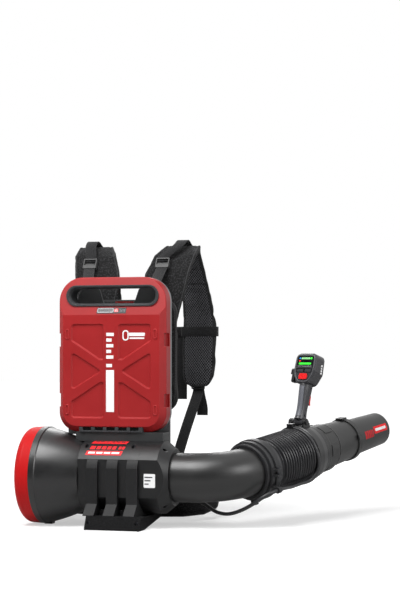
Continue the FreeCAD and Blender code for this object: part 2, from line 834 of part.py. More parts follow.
def blower_tube():
    """Tapered air tube from inside the collar to the nozzle joint."""
    s0 = collar_start + 8 + 2 * seat_gap
    s1 = blower_tube_end
    flange = coupling_end + moving_gap
    w = blower_tube_wall
    return on_tube(turned(
        (s0, blower_tube_r), (flange, blower_tube_r), (flange, coupling_r - 2.4), (flange + 3, coupling_r - 3),
        (flange + 4, blower_tube_r - 0.2), (s1, blower_tube_end_r), (s1, blower_tube_end_r - w),
        (flange, blower_tube_r - w), (s0, blower_tube_r - w)))


def tube_radius(s):
    """Outer radius of the blower tube at s, past its flange."""
    s0 = coupling_end + moving_gap + 4
    return blower_tube_r - 0.2 + (s - s0) / (blower_tube_end - s0) * (blower_tube_end_r - blower_tube_r + 0.2)


def nozzle():
    """Tapered nozzle with a socket ring, a top tab and two lock tabs."""
    s0 = nozzle_start
    s1 = s0 + nozzle_socket_length
    s2 = nozzle_end
    r0 = tube_radius(s0) + moving_gap
    w = blower_tube_wall
    shell = turned(
        (s0, r0), (s0, r0 + 1), (s0 + 1, r0 + w), (s1 - 1, r0 + w), (s1, r0 + w - 1),
        (s1 + 3, nozzle_root_r + 0.5), (s2 - 1, nozzle_tip_r), (s2, nozzle_tip_r - 0.8), (s2, nozzle_tip_r - w),
        (s1 + 3, nozzle_root_r - w), (s1 + 1, nozzle_root_r - w), (s1 + 0.5, r0))
    tabs = [box(s0 - 6, s0 + 12, -9, 9, r0 + 1, r0 + w + 2.5)]
    for angle in (80, 200):
        tab = box(s0 - 3, s0 + 12, -6, 6, r0 + 1, r0 + w + 2.5)
        tab.rotate(V(0, 0, 0), V(1, 0, 0), angle)
        tabs.append(tab)
    return on_tube(union([shell] + tabs))


def impeller():
    """Hub with a rounded spinner and twisted blades."""
    x0 = hub_left_x
    x1 = hub_left_x + hub_length
    xs = x0 - spinner_length
    nose = (xs + 5, hub_r * 0.62, x0, hub_r)
    hub = turned((xs, 0), nose, (x1, hub_r), (x1, hub_r - 4), (x0 + 6, hub_r - 4),
                 (x0 + 6, shaft_r + 6), (x1 - 6, shaft_r + 6), (x1 - 6, 0))
    tip = duct_r - blade_tip_gap
    blades = []
    middle = (x0 + x1) / 2
    for i in range(blade_count):
        root = blade_section(hub_length * 0.74, 42, hub_r - 2.5, middle)
        end = blade_section(hub_length * 0.70, 66, duct_r + 2, middle)
        blade = Part.makeLoft([root, end], True, True)
        blade.rotate(V(0, 0, 0), V(1, 0, 0), 360 * i / blade_count)
        blades.append(blade)
    disc = turned((xs, 0), (xs, tip), (x1 + 5, tip), (x1 + 5, 0))
    wheel = union([hub] + blades).common(disc)
    bore = rod(V(x0 - 2, 0, 0), V(1, 0, 0), shaft_r, hub_length + 4)
    return at_fan(wheel.cut(bore))


def blade_section(chord, angle, z, x):
    """Curved blade section of two arcs on a plane at height z, turned by its stagger angle."""
    half = chord / 2
    a = V(-half, 0, 0)
    b = V(half, 0, 0)
    wire = Part.Wire([arc(a, V(0, 4.2, 0), b), arc(b, V(0, 1.8, 0), a)])
    wire.rotate(V(0, 0, 0), V(0, 0, 1), angle)
    wire.translate(V(x, 0, z))
    return wire


def fan_shaft():
    """Rotor shaft from the hub through both bearings."""
    x0 = hub_left_x + 2
    length = motor_left_x + motor_length + 2 - x0
    return at_fan(rod(V(x0, 0, 0), V(1, 0, 0), shaft_r, length))


def bearing_places():
    """Left faces of the two bearings inside the motor can."""
    return [motor_left_x + motor_wall, motor_left_x + motor_length - motor_wall - bearing_width]


def bearings():
    """Two ball bearings, drawn as plain rings."""
    rings = []
    for x in bearing_places():
        ring = turned((x, shaft_r + running_gap), (x, bearing_r), (x + bearing_width, bearing_r),
                      (x + bearing_width, shaft_r + running_gap))
        rings.append(at_fan(ring))
    return Part.makeCompound(rings)


def motor_can():
    """Motor can with bearing seats and the tail cone behind it."""
    x0 = motor_left_x
    x1 = motor_left_x + motor_length
    x2 = x1 + tail_length
    w = motor_wall
    seat = bearing_r + seat_gap / 3
    cone = (x1 + tail_length * 0.5, motor_r * 0.72, x2, 4)
    outer = turned((x0, 0), (x0, motor_r - 2), (x0 + 2, motor_r), (x1, motor_r), cone,
                   (x2, 0))
    room = turned((x0 + w + bearing_width + 2, 0), (x0 + w + bearing_width + 2, motor_r - w),
                  (x1 - w - bearing_width - 2, motor_r - w), (x1 - w - bearing_width - 2, 0))
    inner_cone = (x1 + tail_length * 0.5, motor_r * 0.72 - 4, x2 - 10, 4)
    tail = turned((x1 + 3, 0), (x1 + 3, motor_r - 5), inner_cone, (x2 - 10, 0))
    body = outer.cut(room).cut(tail)
    for x in bearing_places():
        body = body.cut(rod(V(x, 0, 0), V(1, 0, 0), seat, bearing_width + seat_gap))
    body = body.cut(rod(V(x0 - 1, 0, 0), V(1, 0, 0), shaft_r + 2, motor_length + 4))
    for x in bearing_places():
        side_x = x if x < x0 + motor_length / 2 else x - 4
        body = body.cut(rod(V(side_x, 0, 0), V(1, 0, 0), seat, bearing_width + 4))
    return at_fan(body)


def motor_stator():
    """Laminated stator ring with winding slots."""
    x0 = motor_left_x + motor_wall + bearing_width + 5
    x1 = motor_left_x + motor_length - motor_wall - bearing_width - 5
    inner = magnet_r + magnet_gap
    ring = turned((x0, inner), (x0, motor_r - motor_wall - seat_gap), (x1, motor_r - motor_wall - seat_gap),
                  (x1, inner))
    for i in range(9):
        slot = box(x0 - 1, x1 + 1, -1.5, 1.5, inner + 1.5, motor_r - motor_wall - 3.5)
        slot.rotate(V(0, 0, 0), V(1, 0, 0), 40 * i)
        ring = ring.cut(slot)
    return at_fan(ring)


def motor_rotor():
    """Magnet rotor pressed on the shaft."""
    x0 = motor_left_x + motor_wall + bearing_width + 5
    x1 = motor_left_x + motor_length - motor_wall - bearing_width - 5
    return at_fan(turned((x0, shaft_r), (x0, magnet_r), (x1, magnet_r), (x1, shaft_r)))


def stator_vanes():
    """Ring of straightening vanes that carries the motor in the duct."""
    x0 = motor_left_x + 6
    x1 = x0 + vane_length
    outer = duct_r - seat_gap
    inner = motor_r + seat_gap
    parts = [turned((x0, outer - 2), (x0, outer), (x1, outer), (x1, outer - 2)),
             turned((x0, inner), (x0, inner + 2), (x1, inner + 2), (x1, inner))]
    for i in range(vane_count):
        root = blade_section(vane_length - 4, -12, inner + 1, (x0 + x1) / 2)
        end = blade_section(vane_length - 4, -12, outer - 1, (x0 + x1) / 2)
        vane = Part.makeLoft([root, end], True, True)
        vane.rotate(V(0, 0, 0), V(1, 0, 0), 360 * i / vane_count)
        parts.append(vane)
    return at_fan(union(parts))


def dock():
    """Dock under the battery, seated on the round housing."""
    z1 = battery_bottom_z - seat_gap
    body = rounded(front, [(dock_left_x, z1), (dock_left_x, 172), (dock_left_x + 30, dock_bottom_z),
                           (dock_right_x, dock_bottom_z), (dock_right_x, z1)], [3, 10, 6, 10, 3])
    body = plate_y(body, dock_front_y, battery_back_y)
    r = housing_r + seat_gap
    body = body.cut(rod(V(housing_left_x - 30, 0, fan_z), V(1, 0, 0), r, housing_length + 130))
    body = body.cut(bell_form(seat_gap))
    return body.cut(box(dock_left_x - 1, dock_right_x + 1, dock_front_y - 1, battery_back_y + 1, 0, 160))


def dock_connector():
    """Terminal block on the dock that enters the battery."""
    z0 = battery_bottom_z - seat_gap
    z1 = battery_bottom_z + guard_height - seat_gap
    body = box(-26, 26, -5, 11, z0, z1)
    for i in range(5):
        x = -20 + 10 * i
        body = body.cut(box(x - 1.2, x + 1.2, -3, 9, z0 + 4, z1 + 1))
    return body


def battery_outline(inset):
    """Battery outline with large round corners, drawn in by an inset."""
    w = battery_half_width - inset
    z0 = battery_bottom_z + inset
    z1 = battery_top_z - inset
    radii = [bottom_corner_r - inset, bottom_corner_r - inset, top_corner_r - inset, top_corner_r - inset]
    return rounded(front, [(-w, z0), (w, z0), (w, z1), (-w, z1)], radii)


def stadium(half_length, height, z, x=0.0):
    """Slot outline with round ends, along X."""
    r = height / 2
    h = half_length - r
    return outline(front, (x - h, z + r), (x + h, z + r), (x + half_length, z, x + h, z - r), (x - h, z - r),
                   (x - half_length, z, x - h, z + r))


def recess_panels():
    """The six recessed fields that leave an X of ribs on each half of the battery."""
    zm = (panel_top_z + panel_bottom_z) / 2
    reach = (panel_top_z - panel_bottom_z) / 2
    fields = []
    for sx in (1, -1):
        xo = sx * panel_outer_x
        xi = sx * panel_inner_x
        for sz in (1, -1):
            corners = [(xo, zm + sz * reach), (xi, zm + sz * reach), (xi, zm + sz * reach * 0.235),
                       (xi + sx * 10, zm + sz * reach * 0.235), (xo, zm + sz * reach * 0.64)]
            fields.append(rounded(front, corners, [7, 7, 3, 3, 5]))
        corners = [(xo, zm + reach * 0.42), (xi + sx * 4, zm), (xo, zm - reach * 0.42)]
        fields.append(rounded(front, corners, [6, 5, 6]))
    return [sloped_field(wire) for wire in fields]


def sloped_field(wire):
    """Field sunk into the battery's face, narrower to its floor."""
    wide = wire.makeOffset2D(panel_slope / panel_depth)
    narrow = wire.makeOffset2D(-panel_slope)
    wide.translate(V(0, battery_front_y - 1, 0))
    narrow.translate(V(0, battery_front_y + panel_depth, 0))
    return Part.makeLoft([wide, narrow], True, True)


def side_notches():
    """Pockets in both sides of the battery."""
    pockets = []
    for sx in (1, -1):
        for z in (395.5, 267.0):
            x0 = sx * (battery_half_width - 5)
            x1 = sx * (battery_half_width + 5)
            y0 = battery_front_y + 8
            pockets.append(box(min(x0, x1), max(x0, x1), y0, shell_back_y - 6, z - 14, z + 14))
    return pockets


def cell_room(inset):
    """Outline of the room for the cells, drawn in by an inset."""
    w = cell_room_half - inset
    z0 = battery_bottom_z + guard_height + battery_wall + inset
    z1 = cell_room_top_z - inset
    return rounded(front, [(-w, z0), (w, z0), (w, z1), (-w, z1)], 20 - inset)


def upright_oval(x, z, r, half_height):
    """Upright slot outline with round ends."""
    top = z + half_height
    low = z - half_height
    return outline(front, (x - r, top - r), (x, top, x + r, top - r), (x + r, low + r),
                   (x, low, x - r, low + r))


def battery_front_shell():
    """Red front shell: bevelled face, lower grip zone, recessed fields and side pockets."""
    yb = battery_front_y + battery_bevel
    outer = plate_y(battery_outline(0), yb, shell_back_y)
    wide = battery_outline(0)
    wide.translate(V(0, yb, 0))
    narrow = battery_outline(battery_bevel)
    narrow.translate(V(0, battery_front_y, 0))
    body = outer.fuse(Part.makeLoft([wide, narrow], True, True)).removeSplitter()
    y0 = battery_front_y
    y1 = battery_panel_y
    zone = outline(side, (y0 - 5, grip_zone_z), (y0, grip_zone_z), (y1, grip_zone_z + grip_zone_rise),
                   (y1, battery_top_z + 5), (y0 - 5, battery_top_z + 5))
    body = body.cut(plate_x(zone, -battery_half_width - 5, battery_half_width + 5))
    body = body.cut(plate_y(cell_room(0), battery_front_y + panel_depth + battery_wall, shell_back_y + 1))
    for field in recess_panels():
        body = body.cut(field)
    for pocket in side_notches():
        body = body.cut(pocket)
    room = liner_wall + seat_gap
    hole = stadium(hole_half_length + room, hole_height + 2 * room, hole_centre_z)
    body = body.cut(plate_y(hole, battery_front_y - 1, shell_back_y + 1))
    g = guard_half_length + seat_gap
    top = battery_bottom_z + guard_height + seat_gap
    body = body.cut(box(-g, g, battery_front_y - 1, shell_back_y + 1, battery_bottom_z - 1, top))
    bumps = []
    for x in (-98.5, 98.5):
        for z in (408.0, 247.0):
            bump = plate_y(upright_oval(x, z, 4.5, 10.5), battery_front_y - 1.6, battery_front_y + 2)
            floor = plate_y(upright_oval(x, z, 2.6, 8.6), battery_front_y - 2, battery_front_y - 0.4)
            bumps.append(bump.cut(floor))
    body = union([body] + bumps)
    return body.cut(gauge_pocket())


def on_facet(shape):
    """Carry a shape to the sloping facet under the grip: X right, Z up the slope, Y into the battery."""
    y0 = battery_front_y
    y1 = battery_panel_y
    middle = V(0, (y0 + y1) / 2, grip_zone_z + grip_zone_rise / 2)
    return seated(shape, middle, V(1, 0, 0), V(0, y1 - y0, grip_zone_rise))


def gauge_pocket():
    """Pocket in the facet for the gauge panel."""
    w = gauge_length / 2 + seat_gap
    h = gauge_height / 2 + seat_gap
    return on_facet(box(-w, w, -3, gauge_thickness + seat_gap + 4, -h, h))


def battery_gauge():
    """Gauge panel with a window frame, a button opening and grip ridges."""
    w = gauge_length / 2
    h = gauge_height / 2
    b = gauge_button_size / 2 + seat_gap
    body = box(-w, w, -0.6, gauge_thickness + 4, -h, h)
    body = body.cut(box(-w + 3, 3, -1, 0.2, -h + 3, h - 3))
    body = body.cut(box(gauge_button_x - b, gauge_button_x + b, -2, gauge_thickness + 2.6, -b, b))
    for i in range(5):
        x = gauge_button_x + b + 4 + 3 * i
        body = body.cut(box(x, x + 1.4, -1, 0.2, -h + 2, h - 2))
    return on_facet(body)


def gauge_button():
    """Small square button that shows the charge."""
    b = gauge_button_size / 2
    x = gauge_button_x
    return on_facet(box(x - b, x + b, -1.4, 2.6, -b, b))


def battery_rear_shell():
    """Grey rear shell with rail grooves and the latch groove."""
    body = plate_y(battery_outline(0.6), shell_back_y, battery_back_y)
    room = liner_wall + seat_gap
    hole = stadium(hole_half_length + room, hole_height + 2 * room, hole_centre_z)
    body = body.cut(plate_y(hole, shell_back_y - 1, battery_back_y + 1))
    w = rail_width / 2 + slide_gap
    y0 = battery_back_y - rail_depth - slide_gap
    for x in (-rail_x, rail_x):
        body = body.cut(box(x - w, x + w, y0, battery_back_y + 1, battery_bottom_z - 1, 445))
    return body.cut(box(latch_x - 8, latch_x + 8, battery_back_y - 4.5, battery_back_y + 1,
                        battery_bottom_z - 1, latch_nose_z + 6))


def battery_handle_liner():
    """Dark lining of the battery's grip hole, with a front flange."""
    y0 = battery_panel_y
    tube = stadium(hole_half_length + liner_wall, hole_height + 2 * liner_wall, hole_centre_z)
    ring = plate_y(tube, y0, battery_back_y)
    flange = stadium(hole_half_length + liner_flange + 2, hole_height + 2 * liner_flange, hole_centre_z)
    ring = ring.fuse(plate_y(flange, y0 - 2, y0 - seat_gap))
    wide = stadium(hole_half_length + 4, hole_height + 8, hole_centre_z)
    wide.translate(V(0, y0 - 2.5, 0))
    narrow = stadium(hole_half_length, hole_height, hole_centre_z)
    narrow.translate(V(0, y0 + 4, 0))
    ring = ring.cut(Part.makeLoft([wide, narrow], True, True))
    hole = stadium(hole_half_length, hole_height, hole_centre_z)
    return ring.cut(plate_y(hole, y0 - 3, battery_back_y + 1))


def battery_cells():
    """Cell block inside the battery."""
    y0 = battery_front_y + panel_depth + battery_wall + seat_gap
    return plate_y(cell_room(seat_gap), y0, shell_back_y - seat_gap)


def battery_guard():
    """Dark slotted guard along the battery's bottom edge, open below for the connector."""
    g = guard_half_length
    z0 = battery_bottom_z
    body = box(-g, g, battery_front_y - 0.6, shell_back_y - seat_gap, z0, z0 + guard_height)
    for i in range(5):
        x = -g + 8 + i * 26.5
        y0 = battery_front_y
        body = body.cut(box(x, x + 19, y0 - 1, y0 + 3, z0 + 3, z0 + guard_height + 1))
    return body.cut(box(-29, 29, -8, 14, z0 - 1, z0 + guard_height + 1))


def back_frame():
    """Back frame: plate behind the battery with two ears, battery rails, a deep centre box and a rear leg."""
    y0 = battery_back_y + seat_gap + 0.3
    y1 = y0 + frame_plate
    w = frame_half_width
    top = [(-w, 160), (w, 160), (w, 440), (82, frame_top_z), (46, frame_top_z), (34, frame_bar_z),
           (-34, frame_bar_z), (-44, frame_top_z), (-82, frame_top_z), (-w, 440)]
    plate = plate_y(rounded(front, top, [12, 12, 16, 8, 8, 8, 8, 8, 8, 16]), y0, y1)
    plate = plate.cut(box(-w - 1, dock_left_x, y0 - 1, y1 + 1, 150, battery_bottom_z - 8))
    b = frame_box_half
    yb = frame_back_y
    outer = box(-b, b, y0 + 1, yb, frame_box_bottom_z, frame_box_top_z)
    low = frame_box_bottom_z + frame_wall
    inner = box(-b + frame_wall, b - frame_wall, y1, yb + 1, low, frame_box_top_z - frame_wall)
    leg = box(-56, 72, yb - 4, yb, foot_plate + seat_gap, frame_box_bottom_z + 20)
    parts = [plate, outer.cut(inner), leg]
    for x in (-rail_x, rail_x):
        half = rail_width / 2
        parts.append(box(x - half, x + half, battery_back_y - rail_depth, y0 + 1, 215, 440))
    ear_w = 6
    for x in (latch_x - latch_half_width - slide_gap - ear_w, latch_x + latch_half_width + slide_gap):
        parts.append(box(x, x + ear_w, y1 - 1, y1 + 10, latch_pivot_z - 8, latch_pivot_z + 8))
    body = union(parts)
    r = housing_r + seat_gap
    body = body.cut(rod(V(housing_left_x - 60, 0, fan_z), V(1, 0, 0), r, housing_length + 160))
    body = body.cut(bell_form(seat_gap))
    body = body.cut(box(latch_x - 8, latch_x + 8, y0 - 1, y1 + 1, latch_nose_z - 7, latch_nose_z + 7))
    reach = latch_half_width + slide_gap + 1
    pin = V(latch_x - reach - ear_w, latch_pivot_y(), latch_pivot_z)
    body = body.cut(rod(pin, V(1, 0, 0), latch_pin_r + running_gap, 2 * (reach + ear_w)))
    for i in range(4):
        z = frame_box_bottom_z + 50 + 50 * i
        body = body.cut(box(-50, 50, y0 - 1, y1 + 1, z, z + 26))
    return body


def latch_pivot_y():
    """Depth of the latch pivot, behind the frame plate."""
    return battery_back_y + seat_gap + 0.3 + frame_plate + 5


def battery_latch():
    """Red latch lever with its nose through the frame plate and two trunnions."""
    x0 = latch_x - latch_half_width
    x1 = latch_x + latch_half_width
    y0 = latch_pivot_y() - 4
    lever = box(x0, x1, y0, y0 + 5, latch_pivot_z, latch_top_z)
    hub = rod(V(x0, latch_pivot_y(), latch_pivot_z), V(1, 0, 0), 4.4, x1 - x0)
    pin = rod(V(x0 - 5, latch_pivot_y(), latch_pivot_z), V(1, 0, 0), latch_pin_r, x1 - x0 + 10)
    nose = box(latch_x - 6, latch_x + 6, battery_back_y - 3, y0 + 1, latch_nose_z - 3, latch_nose_z + 3)
    lip = box(x0, x1, y0 - 1.5, y0 + 1, latch_top_z - 5, latch_top_z)
    return union([lever, hub, pin, nose, lip])


def controller_box():
    """Motor controller with cooling ribs, inside the frame's centre box."""
    y1 = frame_back_y - 4
    z0 = frame_box_bottom_z + frame_wall + seat_gap
    y0 = battery_back_y + seat_gap + 0.3 + frame_plate + seat_gap
    body = box(-55, 55, y0, y1, z0, z0 + 45)
    for i in range(9):
        x = -50 + 11 * i
        body = body.cut(box(x, x + 5, y1 - 12, y1 + 1, z0 + 6, z0 + 46))
    return body


def sections_loft(sections, flip=1):
    """Soft solid through rounded sections.

    Each section is its place, width direction, thickness direction, half width and half thickness.
    """
    wires = []
    for centre, across, through, half_w, half_t in sections:
        a = V(across).normalize()
        t = V(through).normalize()
        c = V(centre.x * flip, centre.y, centre.z)
        a = V(a.x * flip, a.y, a.z)
        t = V(t.x * flip, t.y, t.z)
        e = half_t * 0.55
        w = half_w - e

        def p(u, v):
            return c + a * u + t * v
        wires.append(Part.Wire([
            line(p(-w, half_t), p(w, half_t)),
            arc(p(w, half_t), p(w + e * 0.7, half_t * 0.6 + 0.001), p(w + e, 0)),
            arc(p(w + e, 0), p(w + e * 0.7, -half_t * 0.6 - 0.001), p(w, -half_t)),
            line(p(w, -half_t), p(-w, -half_t)),
            arc(p(-w, -half_t), p(-w - e * 0.7, -half_t * 0.6 - 0.001), p(-w - e, 0)),
            arc(p(-w - e, 0), p(-w - e * 0.7, half_t * 0.6 + 0.001), p(-w, half_t))]))
    return Part.makeLoft(wires, True, True)


# Path of a shoulder strap: depth, height, inner and outer edge from the centre line
strap_path = [(100.4, 424, 34, 106), (100.4, 462, 34, 116), (105, 502, 36, 126), (116, 540, 38, 132),
              (136, 582, 54, 140), (170, 603, 68, 141), (214, 592, 72, 129), (246, 556, 74, 129),
              (260, 500, 74, 139), (263, 432, 74, 151), (261, 350, 74, 149), (258.5, 312, 75, 144),
              (257, 296, 80, 137), (256, 286, 91, 127)]
chest_section = 9
strap_front_y = strap_path[chest_section][0] + strap_thickness


def shoulder_strap(hand):
    """Padded shoulder strap from the back pad over the shoulder and down the chest."""
    sections = []
    for i, (y, z, inner, outer) in enumerate(strap_path):
        before = strap_path[max(i - 1, 0)]
        after = strap_path[min(i + 1, len(strap_path) - 1)]
        run = V(0, after[0] - before[0], after[1] - before[1]).normalize()
        through = V(1, 0, 0).cross(run)
        half_t = strap_thickness / 2 * (0.8 if i in (0, len(strap_path) - 1) else 1)
        sections.append((V((inner + outer) / 2, y + strap_thickness / 2, z), V(1, 0, 0), through,
                         (outer - inner) / 2, half_t))
    return sections_loft(sections, hand)


def back_pad():
    """Back pad with a crown and drawn-in edges, in front of the frame."""
    y0 = frame_back_y + seat_gap
    w = pad_half_width
    z0 = pad_bottom_z
    z1 = pad_top_z - 60
    wires = []
    for y, inset in ((0, 6), (7, 0), (pad_depth * 0.7, 0), (pad_depth - 4, 5), (pad_depth, 16)):
        wire = rounded(front, [(-w + inset, z0 + inset), (w - inset, z0 + inset), (w - inset, z1 - inset),
                               (-w + inset, z1 - inset)], 34 - inset)
        wire.translate(V(0, y0 + y, 0))
        wires.append(wire)
    pad = Part.makeLoft(wires, True, True)
    for x in (-36, 36):
        pad = pad.cut(box(x - 5, x + 5, y0 + pad_depth - 9, y0 + pad_depth + 1, z0 + 20, z1 - 20))
    return pad.cut(box(-130, 130, frame_back_y + 18, 140, 415, 600))


# Path of the hip belt's right half: distance from the centre line, depth, bottom and top height
belt_back_y = frame_back_y + seat_gap + belt_thickness / 2
belt_path = [(0, belt_back_y, 12, 112), (70, belt_back_y, 12, 112), (122, 108, 12, 112), (156, 150, 14, 108),
             (165, 202, 22, 98), (158, 250, 34, 84)]


def hip_belt():
    """Padded hip belt round the back, thinner to its ends."""
    sections = []
    places = [(-x, y, z0, z1) for x, y, z0, z1 in reversed(belt_path[1:])] + belt_path
    for i, (x, y, z0, z1) in enumerate(places):
        before = places[max(i - 1, 0)]
        after = places[min(i + 1, len(places) - 1)]
        run = V(after[0] - before[0], after[1] - before[1], 0).normalize()
        half_t = belt_thickness / 2 * (0.6 if i in (0, len(places) - 1) else 1)
        sections.append((V(x, y, (z0 + z1) / 2), V(0, 0, 1), run.cross(V(0, 0, 1)), (z1 - z0) / 2, half_t))
    return sections_loft(sections)


def offset_path(points):
    """Outline of a webbing strip round its path in a plane: both sides, half a thickness away."""
    t = webbing_thickness / 2
    left = []
    right = []
    for i, (u, v) in enumerate(points):
        before = points[max(i - 1, 0)]
        after = points[min(i + 1, len(points) - 1)]
        run = V(after[0] - before[0], after[1] - before[1], 0).normalize()
        left.append((u + run.y * t, v - run.x * t))
        right.append((u - run.y * t, v + run.x * t))
    return left + right[::-1]


def ribbon(points, middle_x):
    """Webbing with its width along X, from a path of (depth, height) points."""
    edge = offset_path(points)
    w = webbing_width / 2
    return plate_x(outline(side, edge[0], *edge[1:]), middle_x - w, middle_x + w)


def slanted_ribbon(points):
    """Webbing with its width along X that drifts sideways, from a path of (x, depth, height) points."""
    w = webbing_width / 2
    t = webbing_thickness / 2
    wires = []
    for i, (x, y, z) in enumerate(points):
        before = points[max(i - 1, 0)]
        after = points[min(i + 1, len(points) - 1)]
        off = V(0, before[2] - after[2], after[1] - before[1]).normalize() * t
        middle = V(x, y, z)
        wide = V(w, 0, 0)
        corners = [middle - wide + off, middle + wide + off, middle + wide - off, middle - wide - off]
        wires.append(Part.makePolygon(corners + corners[:1]))
    return Part.makeLoft(wires, True, True)


def leaning_ribbon(points, start_x, end_x):
    """Webbing with its width along X that drifts evenly with its height, so that its faces stay flat."""
    w = webbing_width / 2
    start_z = points[0][1]
    drift = (end_x - start_x) / (points[-1][1] - start_z)
    wires = []
    for side_x in (-w, w):
        corners = [V(start_x + drift * (z - start_z) + side_x, y, z) for y, z in offset_path(points)]
        wires.append(Part.makePolygon(corners + corners[:1]))
    return Part.makeLoft(wires, True, True)


def plan(u, v):
    """Point of an outline that is seen from above."""
    return V(u, v, 0)


def belt_strip(points, z0, z1):
    """Webbing on edge between two heights, from a path of (x, depth) points."""
    edge = offset_path(points)
    strip = swept(outline(plan, edge[0], *edge[1:]), V(0, 0, z1 - z0))
    strip.translate(V(0, 0, z0))
    return strip


def lock_place(top):
    """Origin and slope of a ladder lock: the upper one on the strap's rear, the lower one behind its end."""
    if top:
        slope = V(0, 21.4, 44.6).normalize()
        face = V(0, 120.6, 551)
        return face - V(0, slope.z, -slope.y) * (lock_thickness + seat_gap), slope
    high = strap_path[-3]
    low = strap_path[-2]
    slope = V(0, high[0] - low[0], high[1] - low[1]).normalize()
    return V(0, low[0] + strap_thickness + 2 * seat_gap, low[1]) - slope * lower_lock_drop, slope


def lock_point(top, depth, rise):
    """Point of a ladder lock as (depth, height): from its rear face inward and up its slope."""
    origin, slope = lock_place(top)
    p = origin + V(0, slope.z, -slope.y) * depth + slope * rise
    return (p.y, p.z)


def harness_webbing():
    """Webbing of the harness: lifters, anchors, lower straps, loose tails, chest strap and waist strap."""
    lifter = [lock_point(True, 2, 16.5), lock_point(True, -1.6, 18.2), lock_point(True, -1.6, 28), (142, 604),
              (158, 616), (172, 617), (190, 607.9), (206, 604)]
    ear_y = battery_back_y + 2 * seat_gap + frame_plate + seat_gap + webbing_thickness / 2
    anchor = [lock_point(True, 2, 7.5), lock_point(True, -1.6, 5.8), lock_point(True, -1.6, 1), (70, 524),
              (ear_y, frame_top_z - 6), (ear_y, frame_top_z - 32)]
    lower = [lock_point(False, 2, 7.5), lock_point(False, 4.6, 6.6), lock_point(False, 5.8, 3.6),
             lock_point(False, 5.8, -4), (266, 269), (250, 255), (200, 211), (150, 162), (107, 113)]
    tail = [lock_point(False, 1.6, 17), lock_point(False, 8.6, 14.5), lock_point(False, 8.6, -3), (279, 245),
            (277, 226)]
    solids = []
    for hand in (1, -1):
        lock_x = lifter_right_x if hand > 0 else lifter_left_x
        for path, x0, x1, shares in ((lifter, lock_x, lifter_top_x, (0, 0, 0, 0.9, 1, 1, 1, 1)),
                                     (anchor, lock_x, anchor_end_x, (0, 0, 0, 0.5, 1, 1)),
                                     (tail, lower_lock_x, tail_x, (0, 0, 0, 1, 1))):
            places = [x0 + share * (x1 - x0) for share in shares]
            solids.append(slanted_ribbon([(hand * x, y, z) for x, (y, z) in zip(places, path)]))
        solids.append(leaning_ribbon(lower, hand * lower_lock_x, hand * lower_strap_x))
    chest_y = chest_strap_y()
    band_y = strap_path[chest_section][0] - 4 * seat_gap - webbing_thickness / 2
    inner, outer = strap_path[chest_section][2:]
    low = chest_z - chest_strap_height / 2
    high = chest_z + chest_strap_height / 2
    waist = [(157.6, 251.4), (120, 290), (70, 308), (36, waist_y), (buckle_entry, waist_y)]
    for hand in (1, -1):
        chest = [(hand * (outer + 4), chest_y), (hand * buckle_entry, chest_y)]
        band = [(hand * (outer + 1), band_y), (hand * (inner - 1), band_y)]
        solids.append(belt_strip(chest, low, high))
        solids.append(belt_strip(band, low, high))
        solids.append(belt_strip([(hand * x, y) for x, y in waist], waist_z - waist_height / 2,
                                 waist_z + waist_height / 2))
    tail_y = chest_y + webbing_thickness + seat_gap
    solids.append(ribbon([(tail_y, high - 3), (tail_y, low), (tail_y + 1, 330), (tail_y, chest_tail_end_z)],
                         chest_tail_x))
    return Part.makeCompound(solids)


def chest_strap_y():
    """Depth of the chest strap's middle, seated on the padded straps."""
    return strap_front_y + seat_gap + webbing_thickness / 2


def ladder_lock():
    """Flat buckle frame with two slots and a middle bar, drawn in the front plane."""
    w = lock_width / 2
    corners = [(-w, 0), (w, 0), (w, lock_height), (-w, lock_height)]
    body = plate_y(rounded(front, corners, 3), 0, lock_thickness)
    for z in (4, lock_height - 10):
        body = body.cut(box(-w + 2.7, w - 2.7, -1, lock_thickness + 1, z, z + 6))
    return body


def ladder_locks():
    """Ladder locks of the lifters and of the lower straps."""
    locks = []
    for top, places in ((True, (lifter_right_x, -lifter_left_x)), (False, (lower_lock_x, -lower_lock_x))):
        origin, slope = lock_place(top)
        for x in places:
            locks.append(seated(ladder_lock(), origin + V(x, 0, 0), V(1, 0, 0), slope))
    return Part.makeCompound(locks)


def harness_buckles():
    """Side-release buckles of the chest strap and of the waist strap."""
    buckles = []
    room = webbing_thickness / 2 + seat_gap
    sizes = ((chest_strap_y(), chest_z, buckle_entry + 2, chest_strap_height / 2),
             (waist_y, waist_z, buckle_entry + 4, waist_height / 2))
    for y, z, half, strip in sizes:
        h = strip + seat_gap + 1.8
        female_corners = [(-half, z - h), (4, z - h), (4, z + h), (-half, z + h)]
        male_corners = [(4.4, z - h), (half, z - h), (half, z + h), (4.4, z + h)]
        female = plate_y(rounded(front, female_corners, 4), y - 4, y + 4)
        male = plate_y(rounded(front, male_corners, 3), y - 4, y + 4)
        for hand, piece in ((-1, female), (1, male)):
            x0 = hand * (half + 5)
            x1 = hand * (buckle_entry - 6)
            reach = strip + seat_gap
            slot = box(min(x0, x1), max(x0, x1), y - room, y + room, z - reach, z + reach)
            buckles.append(piece.cut(slot))
    return Part.makeCompound(buckles)


def ellipse_wire(z, a, b, x=0.0):
    """Ellipse across the grip at height z."""
    e = Part.Ellipse(V(x, 0, z), a, b)
    return Part.Wire(e.toShape())


def head_outline(inset):
    """Outline of the handle's head: wide round top, narrow round bottom."""
    w = head_half_width - inset
    z0 = head_bottom + inset
    z1 = head_bottom + head_height - inset
    r = head_corner_r - inset
    return rounded(side, [(-w * 0.56, z0), (w * 0.56, z0), (w, z0 + 26), (w * 0.94, z1), (-w * 0.94, z1),
                          (-w, z0 + 26)], [14, 14, 16, r, r, 16])


